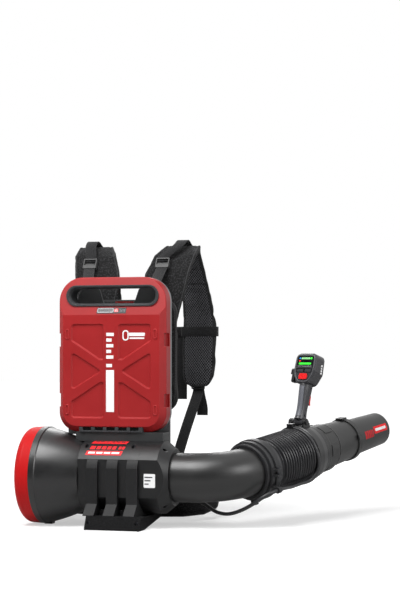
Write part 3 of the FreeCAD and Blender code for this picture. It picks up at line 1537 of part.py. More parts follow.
def handle_body():
    """Whole handle: oval grip, foot for the tilt pin and a deep head, with the trigger slot."""
    grip = grip_form(0)
    w = foot_half
    foot = rod(V(0, -w, 0), V(0, 1, 0), foot_r, 2 * w).fuse(box(-foot_r, foot_r, -w, w, 0, 9))
    head = plate_x(head_outline(0), -head_half_depth, head_half_depth)
    wide = head_outline(0)
    wide.translate(V(-head_half_depth, 0, 0))
    narrow = head_outline(3)
    narrow.translate(V(-head_half_depth - 3, 0, 0))
    wide_back = head_outline(0)
    wide_back.translate(V(head_half_depth, 0, 0))
    narrow_back = head_outline(6)
    narrow_back.translate(V(head_half_depth + 6, 0, 0))
    body = union([grip, foot, head, Part.makeLoft([wide, narrow], True, True),
                  Part.makeLoft([wide_back, narrow_back], True, True)])
    slot_w = trigger_width / 2 + seat_gap
    slot = box(4, grip_half_depth + 8, -slot_w, slot_w, trigger_top - trigger_length - 3, trigger_top + 6)
    body = body.cut(slot)
    body = body.cut(rod(V(0, -w - 1, 0), V(0, 1, 0), knob_pin_r + running_gap, 2 * w + 2))
    for x, depth, z in handle_screw_places():
        body = body.cut(rod(V(x, -depth, z), V(0, -1, 0), handle_screw_r + seat_gap, 30))
    body = body.cut(display_pocket()).cut(key_pocket()).cut(button_pocket()).cut(lever_pocket())
    pivot = V(trigger_pivot_x(), -slot_w - 3, trigger_top)
    body = body.cut(rod(pivot, V(0, 1, 0), 1.5 + running_gap, 2 * slot_w + 6))
    return body.cut(overmould_pocket())


def trigger_pivot_x():
    """Depth of the trigger pivot in the grip."""
    return grip_half_depth - 4.5


def face_x():
    """Plane of the display face, on the wearer's side of the head."""
    return -head_half_depth - 3


def display_pocket():
    """Recess for the display lens."""
    z1 = head_bottom + head_height - 7
    return box(face_x() - 1, face_x() + 2, -head_half_width + 8, head_half_width - 8, z1 - 25, z1)


def key_pocket():
    """Recess for the two soft keys."""
    z1 = head_bottom + head_height - 35
    return box(face_x() - 1, face_x() + 3, -head_half_width + 9, head_half_width - 9, z1 - 9, z1)


def button_pocket():
    """Opening for the power button."""
    w = button_width / 2 + slide_gap
    z0 = head_bottom + 10
    return box(face_x() - 1, face_x() + 7, -w, w, z0 - slide_gap, z0 + button_height + slide_gap)


def lever_pocket():
    """Blind bore for the cruise lever's pin."""
    return rod(V(0, head_half_width - 10, head_bottom + 30), V(0, 1, 0), 3 + running_gap, 14)


def overmould_pocket():
    """Shallow channel for the soft strip on the grip's rear."""
    shell = Part.makeLoft([ellipse_wire(8, grip_half_depth - 2.6, grip_half_width - 2),
                           ellipse_wire(30, grip_half_depth - 3.5, grip_half_width - 2.6),
                           ellipse_wire(56, grip_half_depth - 2.2, grip_half_width - 1.2),
                           ellipse_wire(84, grip_half_depth - 1.6, grip_half_width)], True, False)
    return strip_box(0).cut(shell)


def strip_box(inset):
    """Box that bounds the soft strip of the grip."""
    w = strip_half_width - inset
    return box(-30, -5, -w, w, strip_bottom + inset, strip_top - inset)


def handle_half(left_side):
    """Left or right half of the handle, parted on its middle plane."""
    y0 = 0 if left_side else -60
    return on_handle(handle_body().common(box(-60, 60, y0, y0 + 60, -20, 200)))


def grip_overmould():
    """Light grey soft strip along the rear of the grip."""
    return on_handle(strip_box(seat_gap / 2).common(grip_form(0.5)).common(overmould_pocket()))


def grip_form(margin):
    """Oval grip, waisted near its foot, grown by a margin."""
    a = grip_half_depth + margin
    b = grip_half_width + margin
    return Part.makeLoft([ellipse_wire(6, a + 1, b), ellipse_wire(22, a - 1.5, b - 1.4), ellipse_wire(56, a, b),
                          ellipse_wire(grip_length, a + 1, b + 2)], True, False)


def handle_knob():
    """Tilt pin with its round knob on the left of the collar foot."""
    reach = foot_half + moving_gap + ear_width + seat_gap
    pin = rod(V(0, -reach - 1, 0), V(0, 1, 0), knob_pin_r, 2 * reach + 2)
    head = rod(V(0, reach, 0), V(0, 1, 0), knob_r, knob_width)
    cap = rod(V(0, -reach - 3, 0), V(0, 1, 0), 5, 3)
    body = union([pin, head, cap])
    for i in range(8):
        notch = rod(V(knob_r + 0.8, reach - 1, 0), V(0, 1, 0), 1.6, knob_width + 2)
        notch.rotate(V(0, 0, 0), V(0, 1, 0), 45 * i)
        body = body.cut(notch)
    return on_handle(body)


def display_lens():
    """Dark lens over the display."""
    z1 = head_bottom + head_height - 7
    g = seat_gap
    w = head_half_width - 8 - g
    return on_handle(box(face_x() + 0.3, face_x() + 2 - g, -w, w, z1 - 25 + g, z1 - g))


def soft_keys():
    """Two soft keys side by side under the display."""
    z1 = head_bottom + head_height - 35
    g = seat_gap
    w = head_half_width - 9 - g
    spans = ((-w, -0.5), (0.5, w))
    keys = [box(face_x() + 0.2, face_x() + 3 - g, y0, y1, z1 - 9 + g, z1 - g) for y0, y1 in spans]
    return Part.makeCompound([on_handle(key) for key in keys])


def power_button():
    """Red button that rises a little from the display face."""
    z0 = head_bottom + 10
    w = button_width / 2
    z1 = z0 + button_height
    wire = rounded(side, [(-w, z0), (w, z0), (w, z1), (-w, z1)], 4)
    return on_handle(plate_x(wire, face_x() - 1.8, face_x() + 5))


def trigger():
    """Red trigger lever, hung on its pin at the top of the slot."""
    a = grip_half_depth
    x = trigger_pivot_x()
    z = trigger_top
    bottom = z - trigger_length
    corners = [(x - 3, z + 3), (x + 3.5, z + 3), (a + 3, z - 8), (a + 3.5, bottom + 6), (a + 6, bottom),
               (a + 2, bottom - 0.5), (x + 1, z - 12), (x - 3, z - 4)]
    wire = rounded(front, corners, [2, 2, 2, 3, 1, 1, 3, 2])
    lever = plate_y(wire, -trigger_width / 2, trigger_width / 2)
    w = trigger_width / 2 + seat_gap + 2.8
    return on_handle(union([lever, rod(V(x, -w, z), V(0, 1, 0), 1.5, 2 * w)]))


def cruise_lever():
    """Black speed-hold lever on the left of the head."""
    y0 = head_half_width + seat_gap
    z = head_bottom + 30
    wire = rounded(front, [(-9, z - 24), (7, z - 24), (8, z + 9), (-8, z + 9)], [4, 4, 7, 7])
    arm = plate_y(wire, y0, y0 + 11)
    relief = rounded(front, [(-30, z - 26), (20, z - 26), (20, z - 6), (-30, z - 6)], 2)
    arm = arm.cut(plate_y(relief, y0 + 7, y0 + 12))
    return on_handle(union([arm, rod(V(0, head_half_width - 9.5, z), V(0, 1, 0), 3, 12)]))


def handle_screw_places():
    """Depth, seat and height of the handle screws on the right half."""
    return [(2, grip_half_width - 1, 77), (-1, grip_half_width - 4.5, 15)]


def handle_screws():
    """Screws that hold the two handle halves together."""
    screws = []
    for x, depth, z in handle_screw_places():
        head = rod(V(x, -depth - seat_gap / 2, z), V(0, -1, 0), handle_screw_r, 2)
        screws.append(on_handle(head))
    return Part.makeCompound(screws)


def route(points):
    """Cable path of straight runs joined by tangent arcs, and the smallest arc radius."""
    edges = []
    here = points[0]
    radii = []
    for i in range(1, len(points) - 1):
        back = points[i - 1].sub(points[i])
        ahead = points[i + 1].sub(points[i])
        turn_half = (math.pi - back.getAngle(ahead)) / 2
        reach = 0.45 * min(back.Length, ahead.Length)
        radius = reach / math.tan(turn_half)
        radii.append(radius)
        start = points[i] + V(back).normalize() * reach
        end = points[i] + V(ahead).normalize() * reach
        inward = (V(back).normalize() + V(ahead).normalize()).normalize()
        middle = points[i] + inward * (radius / math.cos(turn_half) - radius)
        if start.sub(here).Length > 1e-6:
            edges.append(line(here, start))
        edges.append(arc(start, middle, end))
        here = end
    edges.append(line(here, points[-1]))
    return Part.Wire(edges), radii


def cable(name, points):
    """Round cable along its route, with its radii and its volume checked in print."""
    path, radii = route(points)
    ring = Part.Wire(Part.Circle(points[0], points[1].sub(points[0]), cable_r).toShape())
    tube = path.makePipeShell([ring], True, False)
    expected = math.pi * cable_r ** 2 * path.Length
    least = round(min(radii), 1) if radii else "straight"
    print(name, "length", round(path.Length, 1), "least radius", least,
          "volume share", round(tube.Volume / expected, 4))
    return tube


def cable_points():
    """Routes of the four cable stretches, from the gland to the handle."""
    clip = tube_point(2, clip_angle, clip_r)
    side_angle = -42
    side_r = rib_crest_r + cable_r + 3.5
    wrap_r = rib_valley_r + cable_r + 2.5
    middle = tube_point(hose_mid + rib_pitch / 2, side_angle, side_r)
    lower = [V(gland_end_x(), gland_y, gland_z), V(169, gland_y, gland_z), V(190, 43.5, 46), V(212, 39, 31),
             V(240, 32, 26), V(268, 25, 33.5), V(296, 20.5, 47.5), V(319.2, 19.9, 63.8), V(334.8, 27.7, 73.6),
             tube_point(-8, clip_angle, clip_r), clip]
    rear = [clip, tube_point(15, clip_angle, clip_r), tube_point(40, -34, 75), tube_point(64, -40, 71.5),
            tube_point(hose_mid - 11, side_angle, side_r), middle]
    sweep = tube_point(groove() - 4, -25, side_r - 0.5)
    low = tube_point(groove(), -6, wrap_r + 3.5)
    join = (sweep + low) * 0.5
    front_part = [middle, tube_point(hose_mid + 17, side_angle, side_r),
                  tube_point(hose_mid + 33, side_angle - 1, side_r + 0.3),
                  tube_point(groove() - 16, -37, side_r + 0.5), sweep, join]
    upper = [join, low, tube_point(groove(), 18, wrap_r), tube_point(groove(), 41, wrap_r),
             tube_point(groove(), 62, wrap_r), tube_point(groove(), 76, wrap_r - 0.6),
             tube_point(groove(), 86, wrap_r - 1)]
    return lower, rear, front_part, upper


def gland_end_x():
    """Station of the face where the cable leaves its gland."""
    return gland_root_x() + 11


def groove():
    """Station of the groove between the last rib and the collar."""
    return (hose_end + collar_start) / 2


def write(parts):
    """Write one STEP file per node and print its size."""
    os.makedirs("parts", exist_ok=True)
    for name, shape in parts.items():
        solids = shape.Solids
        if not shape.isValid():
            print("INVALID", name)
        out = solids[0] if len(solids) == 1 else Part.makeCompound(solids)
        out.exportStep("parts/" + name + ".step")
    print(len(parts), "nodes")


def build():
    """All nodes of the blower by name."""
    lower, rear, front_part, upper = cable_points()
    return {
        "intake_ring": intake_ring(),
        "intake_bell": intake_bell(),
        "intake_guard": intake_guard(),
        "fan_duct": fan_duct(),
        "housing_front": housing_half(True),
        "housing_rear": housing_half(False),
        "outlet_housing": outlet_housing(),
        "housing_screws": housing_screws(),
        "base_foot": base_foot(),
        "cradle": cradle(),
        "elbow": elbow(),
        "hose_clamp": hose_clamp(),
        "hose_rear": hose_rear(),
        "hose_mid_band": hose_mid_band(),
        "hose_front": hose_front(),
        "handle_collar": handle_collar(),
        "coupling_ring": coupling_ring(),
        "blower_tube": blower_tube(),
        "nozzle": nozzle(),
        "impeller": impeller(),
        "fan_shaft": fan_shaft(),
        "fan_bearings": bearings(),
        "motor_can": motor_can(),
        "motor_stator": motor_stator(),
        "motor_rotor": motor_rotor(),
        "stator_vanes": stator_vanes(),
        "dock": dock(),
        "dock_connector": dock_connector(),
        "back_frame": back_frame(),
        "battery_latch": battery_latch(),
        "controller_box": controller_box(),
        "battery_front_shell": battery_front_shell(),
        "battery_rear_shell": battery_rear_shell(),
        "battery_handle_liner": battery_handle_liner(),
        "battery_cells": battery_cells(),
        "battery_guard": battery_guard(),
        "battery_gauge": battery_gauge(),
        "gauge_button": gauge_button(),
        "handle_left": handle_half(True),
        "handle_right": handle_half(False),
        "grip_overmould": grip_overmould(),
        "handle_knob": handle_knob(),
        "display_lens": display_lens(),
        "soft_keys": soft_keys(),
        "power_button": power_button(),
        "trigger": trigger(),
        "cruise_lever": cruise_lever(),
        "handle_screws": handle_screws(),
        "cable_lower": cable("cable_lower", lower),
        "cable_hose_rear": cable("cable_hose_rear", rear),
        "cable_hose_front": cable("cable_hose_front", front_part),
        "cable_upper": cable("cable_upper", upper),
        "back_pad": back_pad(),
        "shoulder_strap_right": shoulder_strap(1),
        "shoulder_strap_left": shoulder_strap(-1),
        "hip_belt": hip_belt(),
        "harness_webbing": harness_webbing(),
        "ladder_locks": ladder_locks(),
        "harness_buckles": harness_buckles(),
    }


write(build())
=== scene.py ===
"""Backpack leaf blower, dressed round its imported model: finishes, soft goods, cords, trim and studio."""
import logging
import math
from dataclasses import dataclass, field
from enum import Enum
from typing import Callable, Sequence

import bmesh
import bpy
import numpy as np
from mathutils import Matrix, Vector


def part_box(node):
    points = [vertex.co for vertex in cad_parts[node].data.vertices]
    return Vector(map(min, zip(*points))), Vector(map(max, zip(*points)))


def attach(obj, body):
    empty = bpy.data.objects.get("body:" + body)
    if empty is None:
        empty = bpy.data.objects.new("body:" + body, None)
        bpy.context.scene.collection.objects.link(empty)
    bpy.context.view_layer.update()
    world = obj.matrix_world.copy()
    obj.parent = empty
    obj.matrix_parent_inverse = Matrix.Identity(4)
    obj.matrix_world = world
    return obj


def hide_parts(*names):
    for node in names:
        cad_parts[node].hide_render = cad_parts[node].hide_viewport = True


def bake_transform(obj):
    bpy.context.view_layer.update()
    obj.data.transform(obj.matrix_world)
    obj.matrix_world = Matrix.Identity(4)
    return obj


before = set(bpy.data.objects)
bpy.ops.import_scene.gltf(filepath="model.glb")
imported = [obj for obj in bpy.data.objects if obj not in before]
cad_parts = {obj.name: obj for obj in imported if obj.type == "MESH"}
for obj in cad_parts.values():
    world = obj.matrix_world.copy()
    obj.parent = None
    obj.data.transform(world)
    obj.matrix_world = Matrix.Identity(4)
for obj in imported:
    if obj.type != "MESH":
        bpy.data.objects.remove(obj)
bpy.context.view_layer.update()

LOG = logging.getLogger("blower")
MM = 0.001
Colour = tuple[float, float, float]


def mm(x: float, y: float, z: float) -> Vector:
    """Point of the object in metres, from its millimetres."""
    return Vector((x, y, z)) * MM


def screen(red: int, green: int, blue: int) -> Colour:
    """Linear colour of a screen colour.

    Args:
        red: Red from 0 to 255.
        green: Green from 0 to 255.
        blue: Blue from 0 to 255.

    Returns:
        The colour as a shader takes it.
    """
    def linear(value: int) -> float:
        """Linear value of one channel."""
        share = value / 255
        return share / 12.92 if share <= 0.04045 else ((share + 0.055) / 1.055) ** 2.4
    return linear(red), linear(green), linear(blue)


def stand(name: str, data: bpy.types.ID) -> bpy.types.Object:
    """Adds an object to the scene.

    Args:
        name: Name of the object.
        data: Its mesh, curve, camera or lamp.

    Returns:
        The object.
    """
    piece = bpy.data.objects.new(name, data)
    bpy.context.scene.collection.objects.link(piece)
    return piece


class Body(str, Enum):
    """Bodies that the pieces ride on."""

    PACK = "pack_frame"
    BATTERY = "battery"
    HOSE = "hose_middle"
    TUBE = "air_tube"
    NOZZLE = "nozzle"
    HANDLE = "handle"


@dataclass(frozen=True)
class Axes:
    """Place on the object with its own directions; Y is Z crossed with X."""

    origin: Vector
    x: Vector
    z: Vector

    @property
    def matrix(self) -> Matrix:
        """Matrix from this place's axes to the object's."""
        x = self.x.normalized()
        z = self.z.normalized()
        turned_to = Matrix((x, z.cross(x), z)).transposed().to_4x4()
        turned_to.translation = self.origin
        return turned_to


@dataclass(frozen=True)
class Layout:
    """Main places of the object, in millimetres and degrees."""

    fan_z: float = 105.0
    bend_x: float = 173.0
    bend_r: float = 120.0
    bend_turn: float = 66.0
    bend_tilt: float = 9.6
    handle_s: float = 187.0
    handle_rise: float = 70.0
    handle_lean: float = 16.0
    hose_start: float = 44.0
    rib_pitch: float = 8.4
    ribs: int = 6

    @property
    def hose_mid(self) -> float:
        """Station of the middle rib of the hose."""
        return self.hose_start + self.ribs * self.rib_pitch

    @property
    def tube(self) -> Axes:
        """Start of the straight air tube: X along it, Z up, Y to the left."""
        turn = math.radians(self.bend_turn)
        tilt = math.radians(self.bend_tilt)
        side = Vector((0, math.cos(tilt), math.sin(tilt)))
        origin = Vector((self.bend_x, 0, self.fan_z))
        origin = origin + Vector((1, 0, 0)) * (self.bend_r * math.sin(turn))
        origin = origin + side * (self.bend_r * (1 - math.cos(turn)))
        ahead = Vector((1, 0, 0)) * math.cos(turn) + side * math.sin(turn)
        up = (Vector((0, 0, 1)) - ahead * ahead.z).normalized()
        return Axes(origin * MM, ahead, up)

    @property
    def handle(self) -> Axes:
        """Tilt axis of the handle: X forward, Z up the grip, Y to the left."""
        tube = self.tube
        flat = Vector((tube.x.x, tube.x.y, 0)).normalized()
        lean = math.radians(self.handle_lean)
        up = Vector((0, 0, 1)) * math.cos(lean) + flat * math.sin(lean)
        ahead = flat * math.cos(lean) - Vector((0, 0, 1)) * math.sin(lean)
        origin = tube.origin + tube.x * (self.handle_s * MM) + tube.z * (self.handle_rise * MM)
        return Axes(origin, ahead, up)

    def tube_point(self, s: float, angle: float, r: float) -> Vector:
        """Point round the air tube, in metres.

        Args:
            s: Station along the tube.
            angle: Degrees up from the tube's right.
            r: Distance from the tube's axis.

        Returns:
            The point in the object's frame.
        """
        tube = self.tube
        right = tube.x.cross(tube.z)
        turn = math.radians(angle)
        out = right * (r * math.cos(turn)) + tube.z * (r * math.sin(turn))
        return tube.origin + (tube.x * s + out) * MM


LAYOUT = Layout()


class Shader:
    """Shader nodes of one tree, added and linked by short calls."""

    def __init__(self, tree: bpy.types.NodeTree) -> None:
        """Keeps the tree that the nodes go into."""
        self.tree = tree

    def feed(self, socket: bpy.types.NodeSocket, value: object) -> None:
        """Links an output to a socket, or sets its value.

        Args:
            socket: Input that takes the value.
            value: Output socket, number or tuple.
        """
        if isinstance(value, bpy.types.NodeSocket):
            self.tree.links.new(value, socket)
        elif isinstance(value, tuple) and len(value) == 3 and socket.type == "RGBA":
            socket.default_value = (*value, 1.0)
        else:
            socket.default_value = value

    def add(self, kind: str, feeds: dict | None = None, **settings: object) -> bpy.types.Node:
        """Adds a node.

        Args:
            kind: Node type without the leading ShaderNode.
            feeds: Inputs by name or number, each an output or a value.
            settings: Properties of the node.

        Returns:
            The new node.
        """
        node = self.tree.nodes.new("ShaderNode" + kind)
        for name, value in settings.items():
            setattr(node, name, value)
        for name, value in (feeds or {}).items():
            self.feed(node.inputs[name], value)
        return node

    def sum(self, operation: str, a: object, b: object = 0.0, c: object = 0.0) -> bpy.types.NodeSocket:
        """Result of a Math node on up to three numbers."""
        return self.add("Math", {0: a, 1: b, 2: c}, operation=operation).outputs[0]

    def spread(self, value: object, low: float, high: float, to_low: float = 0.0,
               to_high: float = 1.0) -> bpy.types.NodeSocket:
        """Smooth step of a value from one range to another.

        Args:
            value: The value.
            low: Where the step starts.
            high: Where the step ends.
            to_low: Result before the step.
            to_high: Result after the step.

        Returns:
            The result.
        """
        feeds = {"Value": value, "From Min": low, "From Max": high, "To Min": to_low, "To Max": to_high}
        return self.add("MapRange", feeds, interpolation_type="SMOOTHSTEP").outputs[0]

    def blend(self, share: object, a: object, b: object) -> bpy.types.NodeSocket:
        """Colour mixed from two.

        Args:
            share: How much of the second it holds.
            a: First colour.
            b: Second colour.

        Returns:
            The mixed colour.
        """
        node = self.add("Mix", data_type="RGBA")
        self.feed(node.inputs["Factor"], share)
        self.feed(node.inputs[6], a)
        self.feed(node.inputs[7], b)
        return node.outputs[2]

    def noise(self, vector: object, scale: object, detail: float = 2.0) -> bpy.types.NodeSocket:
        """Value of a noise texture."""
        return self.add("TexNoise", {"Vector": vector, "Scale": scale, "Detail": detail}).outputs[0]

    def effect(self, name: str, feeds: dict) -> bpy.types.Node:
        """Places one of the shared effects, with its own values.

        Args:
            name: Name of the effect.
            feeds: Its inputs by name.

        Returns:
            The group node.
        """
        node = self.add("Group", node_tree=Effects.get(name))
        for key, value in feeds.items():
            self.feed(node.inputs[key], value)
        return node


class Effects:
    """Effects that several finishes share, each built once as a node group."""

    SLOW_SHARE = 0.02
    SCUFF_AND_HIGHLIGHT_RANGE = (0.02, 0.3)
    CROSSING = (-0.2, 0.2)
    LOZENGE_SLOPE = 0.8
    THREAD_RANGE = (0.45, 0.85)
    FIBRE_SCALE = 900.0

    @classmethod
    def get(cls, name: str) -> bpy.types.NodeTree:
        """Node group of a shared effect, built at its first use.

        Args:
            name: One of grain, edge, weave and mesh.

        Returns:
            The node group.
        """
        if name not in bpy.data.node_groups:
            getattr(cls, name)()
        return bpy.data.node_groups[name]

    @staticmethod
    def start(name: str, inputs: Sequence[tuple[str, str]], outputs: Sequence[tuple[str, str]]) -> tuple:
        """Opens a node group.

        Args:
            name: Name of the group.
            inputs: Name and kind of each input.
            outputs: Name and kind of each output.

        Returns:
            The shader helper, the group's inputs and its outputs.
        """
        tree = bpy.data.node_groups.new(name, "ShaderNodeTree")
        for sockets, way in ((inputs, "INPUT"), (outputs, "OUTPUT")):
            for label, kind in sockets:
                tree.interface.new_socket(name=label, in_out=way, socket_type="NodeSocket" + kind)
        source = tree.nodes.new("NodeGroupInput").outputs
        target = tree.nodes.new("NodeGroupOutput").inputs
        return Shader(tree), source, target

    @classmethod
    def grain(cls) -> None:
        """Moulded grain: fine height, and a slow change of tone."""
        s, given, out = cls.start("grain", [("Vector", "Vector"), ("Scale", "Float")],
                                  [("Height", "Float"), ("Tone", "Float")])
        s.feed(out["Height"], s.noise(given["Vector"], given["Scale"], 2.0))
        slow = s.noise(given["Vector"], s.sum("MULTIPLY", given["Scale"], cls.SLOW_SHARE), 4.0)
        s.feed(out["Tone"], s.spread(slow, 0.3, 0.7))

    @classmethod
    def edge(cls) -> None:
        """Edge mask where the surface turns sharply, lightening edges partly as scuffs and partly as painted
        highlight, and its softened normal.
        """
        s, given, out = cls.start("edge", [("Radius", "Float")],
                                  [("ScuffAndHighlight", "Float"), ("Normal", "Vector")])
        soft = s.add("Bevel", {"Radius": given["Radius"]}, samples=4).outputs[0]
        plain = s.add("NewGeometry").outputs["Normal"]
        match = s.add("VectorMath", {0: soft, 1: plain}, operation="DOT_PRODUCT").outputs["Value"]
        s.feed(out["ScuffAndHighlight"], s.spread(s.sum("SUBTRACT", 1.0, match), *cls.SCUFF_AND_HIGHLIGHT_RANGE))
        s.feed(out["Normal"], soft)

    @classmethod
    def weave(cls) -> None:
        """Plain weave of yarns along and across."""
        s, given, out = cls.start("weave", [("Vector", "Vector"), ("Pitch", "Float")],
                                  [("Height", "Float"), ("Tone", "Float")])
        parts = s.add("SeparateXYZ", {0: given["Vector"]}).outputs
        waves = [s.sum("SINE", s.sum("MULTIPLY", s.sum("DIVIDE", parts[i], given["Pitch"]), math.pi))
                 for i in (0, 1)]
        over = s.spread(s.sum("MULTIPLY", waves[0], waves[1]), *cls.CROSSING)
        first = s.sum("MULTIPLY", s.sum("ABSOLUTE", waves[0]), over)
        second = s.sum("MULTIPLY", s.sum("ABSOLUTE", waves[1]), s.sum("SUBTRACT", 1.0, over))
        s.feed(out["Height"], s.sum("ADD", first, second))
        s.feed(out["Tone"], s.noise(given["Vector"], s.sum("DIVIDE", 0.6, given["Pitch"]), 1.0))

    @classmethod
    def mesh(cls) -> None:
        """Air mesh: lozenge holes between slanting threads."""
        s, given, out = cls.start("mesh", [("Vector", "Vector"), ("Pitch", "Float")],
                                  [("Thread", "Float"), ("Tone", "Float")])
        parts = s.add("SeparateXYZ", {0: given["Vector"]}).outputs
        along = s.sum("MULTIPLY", parts[0], cls.LOZENGE_SLOPE)
        holes = 1.0
        for operation in ("ADD", "SUBTRACT"):
            slanted = s.sum("DIVIDE", s.sum(operation, parts[1], along), given["Pitch"])
            wave = s.sum("SINE", s.sum("MULTIPLY", slanted, math.pi))
            holes = s.sum("MULTIPLY", holes, s.sum("ABSOLUTE", wave))
        s.feed(out["Thread"], s.spread(s.sum("SUBTRACT", 1.0, holes), *cls.THREAD_RANGE))
        s.feed(out["Tone"], s.noise(given["Vector"], cls.FIBRE_SCALE, 1.0))


def new_material(name: str) -> tuple[bpy.types.Material, Shader, bpy.types.Node]:
    """Opens a material.

    Args:
        name: Name of the finish.

    Returns:
        The material, its shader helper and its surface shader.
    """
    material = bpy.data.materials.new(name)
    material.use_nodes = True
    return material, Shader(material.node_tree), material.node_tree.nodes["Principled BSDF"]


@dataclass(frozen=True)
class Moulded:
    """Moulded plastic or rubber, with grain and smoother edges, the edges lightened partly as scuffs and
    partly as painted highlight.
    """

    name: str
    colour: Colour
    roughness: float = 0.45
    specular: float = 0.4
    grain_scale: float = 900.0
    grain_depth: float = 0.00006
    mottle: float = 0.1
    edge_radius: float = 0.0009
    # Share and colour of the lightened edges: partly scuffs, partly painted highlight on edges that would
    # catch the light.
    scuff_and_highlight_share: float = 0.25
    scuff_and_highlight_colour: Colour = (0.25, 0.25, 0.26)
    coat: float = 0.0
    coat_roughness: float = 0.15
    brow: tuple[float, float] | None = None
    brow_step: float = 0.0005
    brow_facing: tuple[float, float] = (0.86, 0.93)
    speckle: float = 0.0
    pit_heights: tuple[float, float] = (0.44, 0.6)
    pit_tone: float = 0.05
    rough_spread: float = 0.03
    bump_strength: float = 0.6

    def lean(self, s: Shader, normal: bpy.types.NodeSocket) -> bpy.types.NodeSocket:
        """Normal of a shell whose front leans back softly above a height.

        Args:
            s: Shader helper of the material.
            normal: Normal before the lean.

        Returns:
            The leaning normal.
        """
        height, rise = self.brow
        aim = Vector((0, -1, rise)).normalized()
        z = s.add("SeparateXYZ", {0: s.add("TexCoord").outputs["Object"]}).outputs[2]
        match = s.add("VectorMath", {0: normal, 1: aim}, operation="DOT_PRODUCT").outputs["Value"]
        above = s.spread(z, height - self.brow_step, height + self.brow_step)
        share = s.sum("MULTIPLY", above, s.spread(match, *self.brow_facing))
        leaning = s.add("Mix", data_type="VECTOR")
        s.feed(leaning.inputs["Factor"], share)
        s.feed(leaning.inputs[4], normal)
        leaning.inputs[5].default_value = aim
        return s.add("VectorMath", {0: leaning.outputs[1]}, operation="NORMALIZE").outputs[0]

    def build(self) -> bpy.types.Material:
        """Material of this plastic."""
        material, s, surface = new_material(self.name)
        where = s.add("TexCoord").outputs["Object"]
        grain = s.effect("grain", {"Vector": where, "Scale": self.grain_scale})
        edge = s.effect("edge", {"Radius": self.edge_radius})
        dark = tuple(c * (1 - self.mottle) for c in self.colour)
        light = tuple(c * (1 + self.mottle) for c in self.colour)
        tone = s.blend(grain.outputs["Tone"], dark, light)
        if self.speckle:
            low = s.spread(grain.outputs["Height"], *self.pit_heights, self.speckle, 0.0)
            tone = s.blend(low, tone, tuple(c * self.pit_tone for c in self.colour))
        # Edges lightened towards the scuff-and-highlight colour: partly scuffing, partly painted highlight.
        lift = s.sum("MULTIPLY", edge.outputs["ScuffAndHighlight"], self.scuff_and_highlight_share)
        s.feed(surface.inputs["Base Color"], s.blend(lift, tone, self.scuff_and_highlight_colour))
        rough = s.spread(grain.outputs["Tone"], 0.0, 1.0, self.roughness - self.rough_spread,
                         self.roughness + self.rough_spread)
        s.feed(surface.inputs["Roughness"], rough)
        surface.inputs["Specular IOR Level"].default_value = self.specular
        surface.inputs["Coat Weight"].default_value = self.coat
        surface.inputs["Coat Roughness"].default_value = self.coat_roughness
        normal = edge.outputs["Normal"]
        if self.brow:
            normal = self.lean(s, normal)
        bump = s.add("Bump", {"Height": grain.outputs["Height"], "Distance": self.grain_depth,
                              "Normal": normal, "Strength": self.bump_strength})
        s.feed(surface.inputs["Normal"], bump.outputs[0])
        return material


@dataclass(frozen=True)
class Metal:
    """Machined or plated metal with fine turning marks."""

    name: str
    colour: Colour
    roughness: float = 0.35
    marks: float = 500.0
    mark_scale: tuple[float, float, float] = (8.0, 1.0, 1.0)
    mark_depth: float = 0.00002
    dark_share: float = 0.8
    edge_radius: float = 0.0004

    def build(self) -> bpy.types.Material:
        """Material of this metal."""
        material, s, surface = new_material(self.name)
        where = s.add("TexCoord").outputs["Object"]
        lines = s.add("Mapping", {"Vector": where, "Scale": self.mark_scale}).outputs[0]
        mark = s.noise(lines, self.marks, 3.0)
        dark = tuple(c * self.dark_share for c in self.colour)
        s.feed(surface.inputs["Base Color"], s.blend(mark, dark, self.colour))
        rough = s.spread(mark, 0.3, 0.7, self.roughness - 0.06, self.roughness + 0.08)
        s.feed(surface.inputs["Roughness"], rough)
        surface.inputs["Metallic"].default_value = 1.0
        edge = s.effect("edge", {"Radius": self.edge_radius})
        bump = s.add("Bump", {"Height": mark, "Distance": self.mark_depth,
                              "Normal": edge.outputs["Normal"]})
        s.feed(surface.inputs["Normal"], bump.outputs[0])
        return material


@dataclass(frozen=True)
class Woven:
    """Flat webbing of thick yarns, with denser edges."""

    name: str
    colour: Colour
    pitch: float = 0.0016
    half_width: float = 0.0125
    border: tuple[float, float] = (0.0022, 0.0014)
    border_tone: float = 0.55
    speck: tuple[float, float] = (0.42, 0.64)
    gap_tone: float = 0.2
    relief: float = 0.0004

    def build(self) -> bpy.types.Material:
        """Material of this webbing."""
        material, s, surface = new_material(self.name)
        where = s.add("UVMap", uv_map="cloth").outputs[0]
        weave = s.effect("weave", {"Vector": where, "Pitch": self.pitch})
        across = s.sum("ABSOLUTE", s.add("SeparateXYZ", {0: where}).outputs[1])
        border = s.spread(across, *(self.half_width - inset for inset in self.border))
        speck = s.spread(weave.outputs["Tone"], *self.speck)
        dark = tuple(c * self.gap_tone for c in self.colour)
        yarn = s.blend(s.sum("MULTIPLY", weave.outputs["Height"], speck), dark, self.colour)
        plain = tuple(c * self.border_tone for c in self.colour)
        s.feed(surface.inputs["Base Color"], s.blend(s.sum("MULTIPLY", border, 0.7), yarn, plain))
        surface.inputs["Specular IOR Level"].default_value = 0.25
        surface.inputs["Sheen Weight"].default_value = 0.15
        s.feed(surface.inputs["Roughness"], s.spread(weave.outputs["Tone"], 0.0, 1.0, 0.75, 0.95))
        bump = s.add("Bump", {"Height": weave.outputs["Height"], "Distance": self.relief,
                              "Strength": 0.8})
        s.feed(surface.inputs["Normal"], bump.outputs[0])
        return material


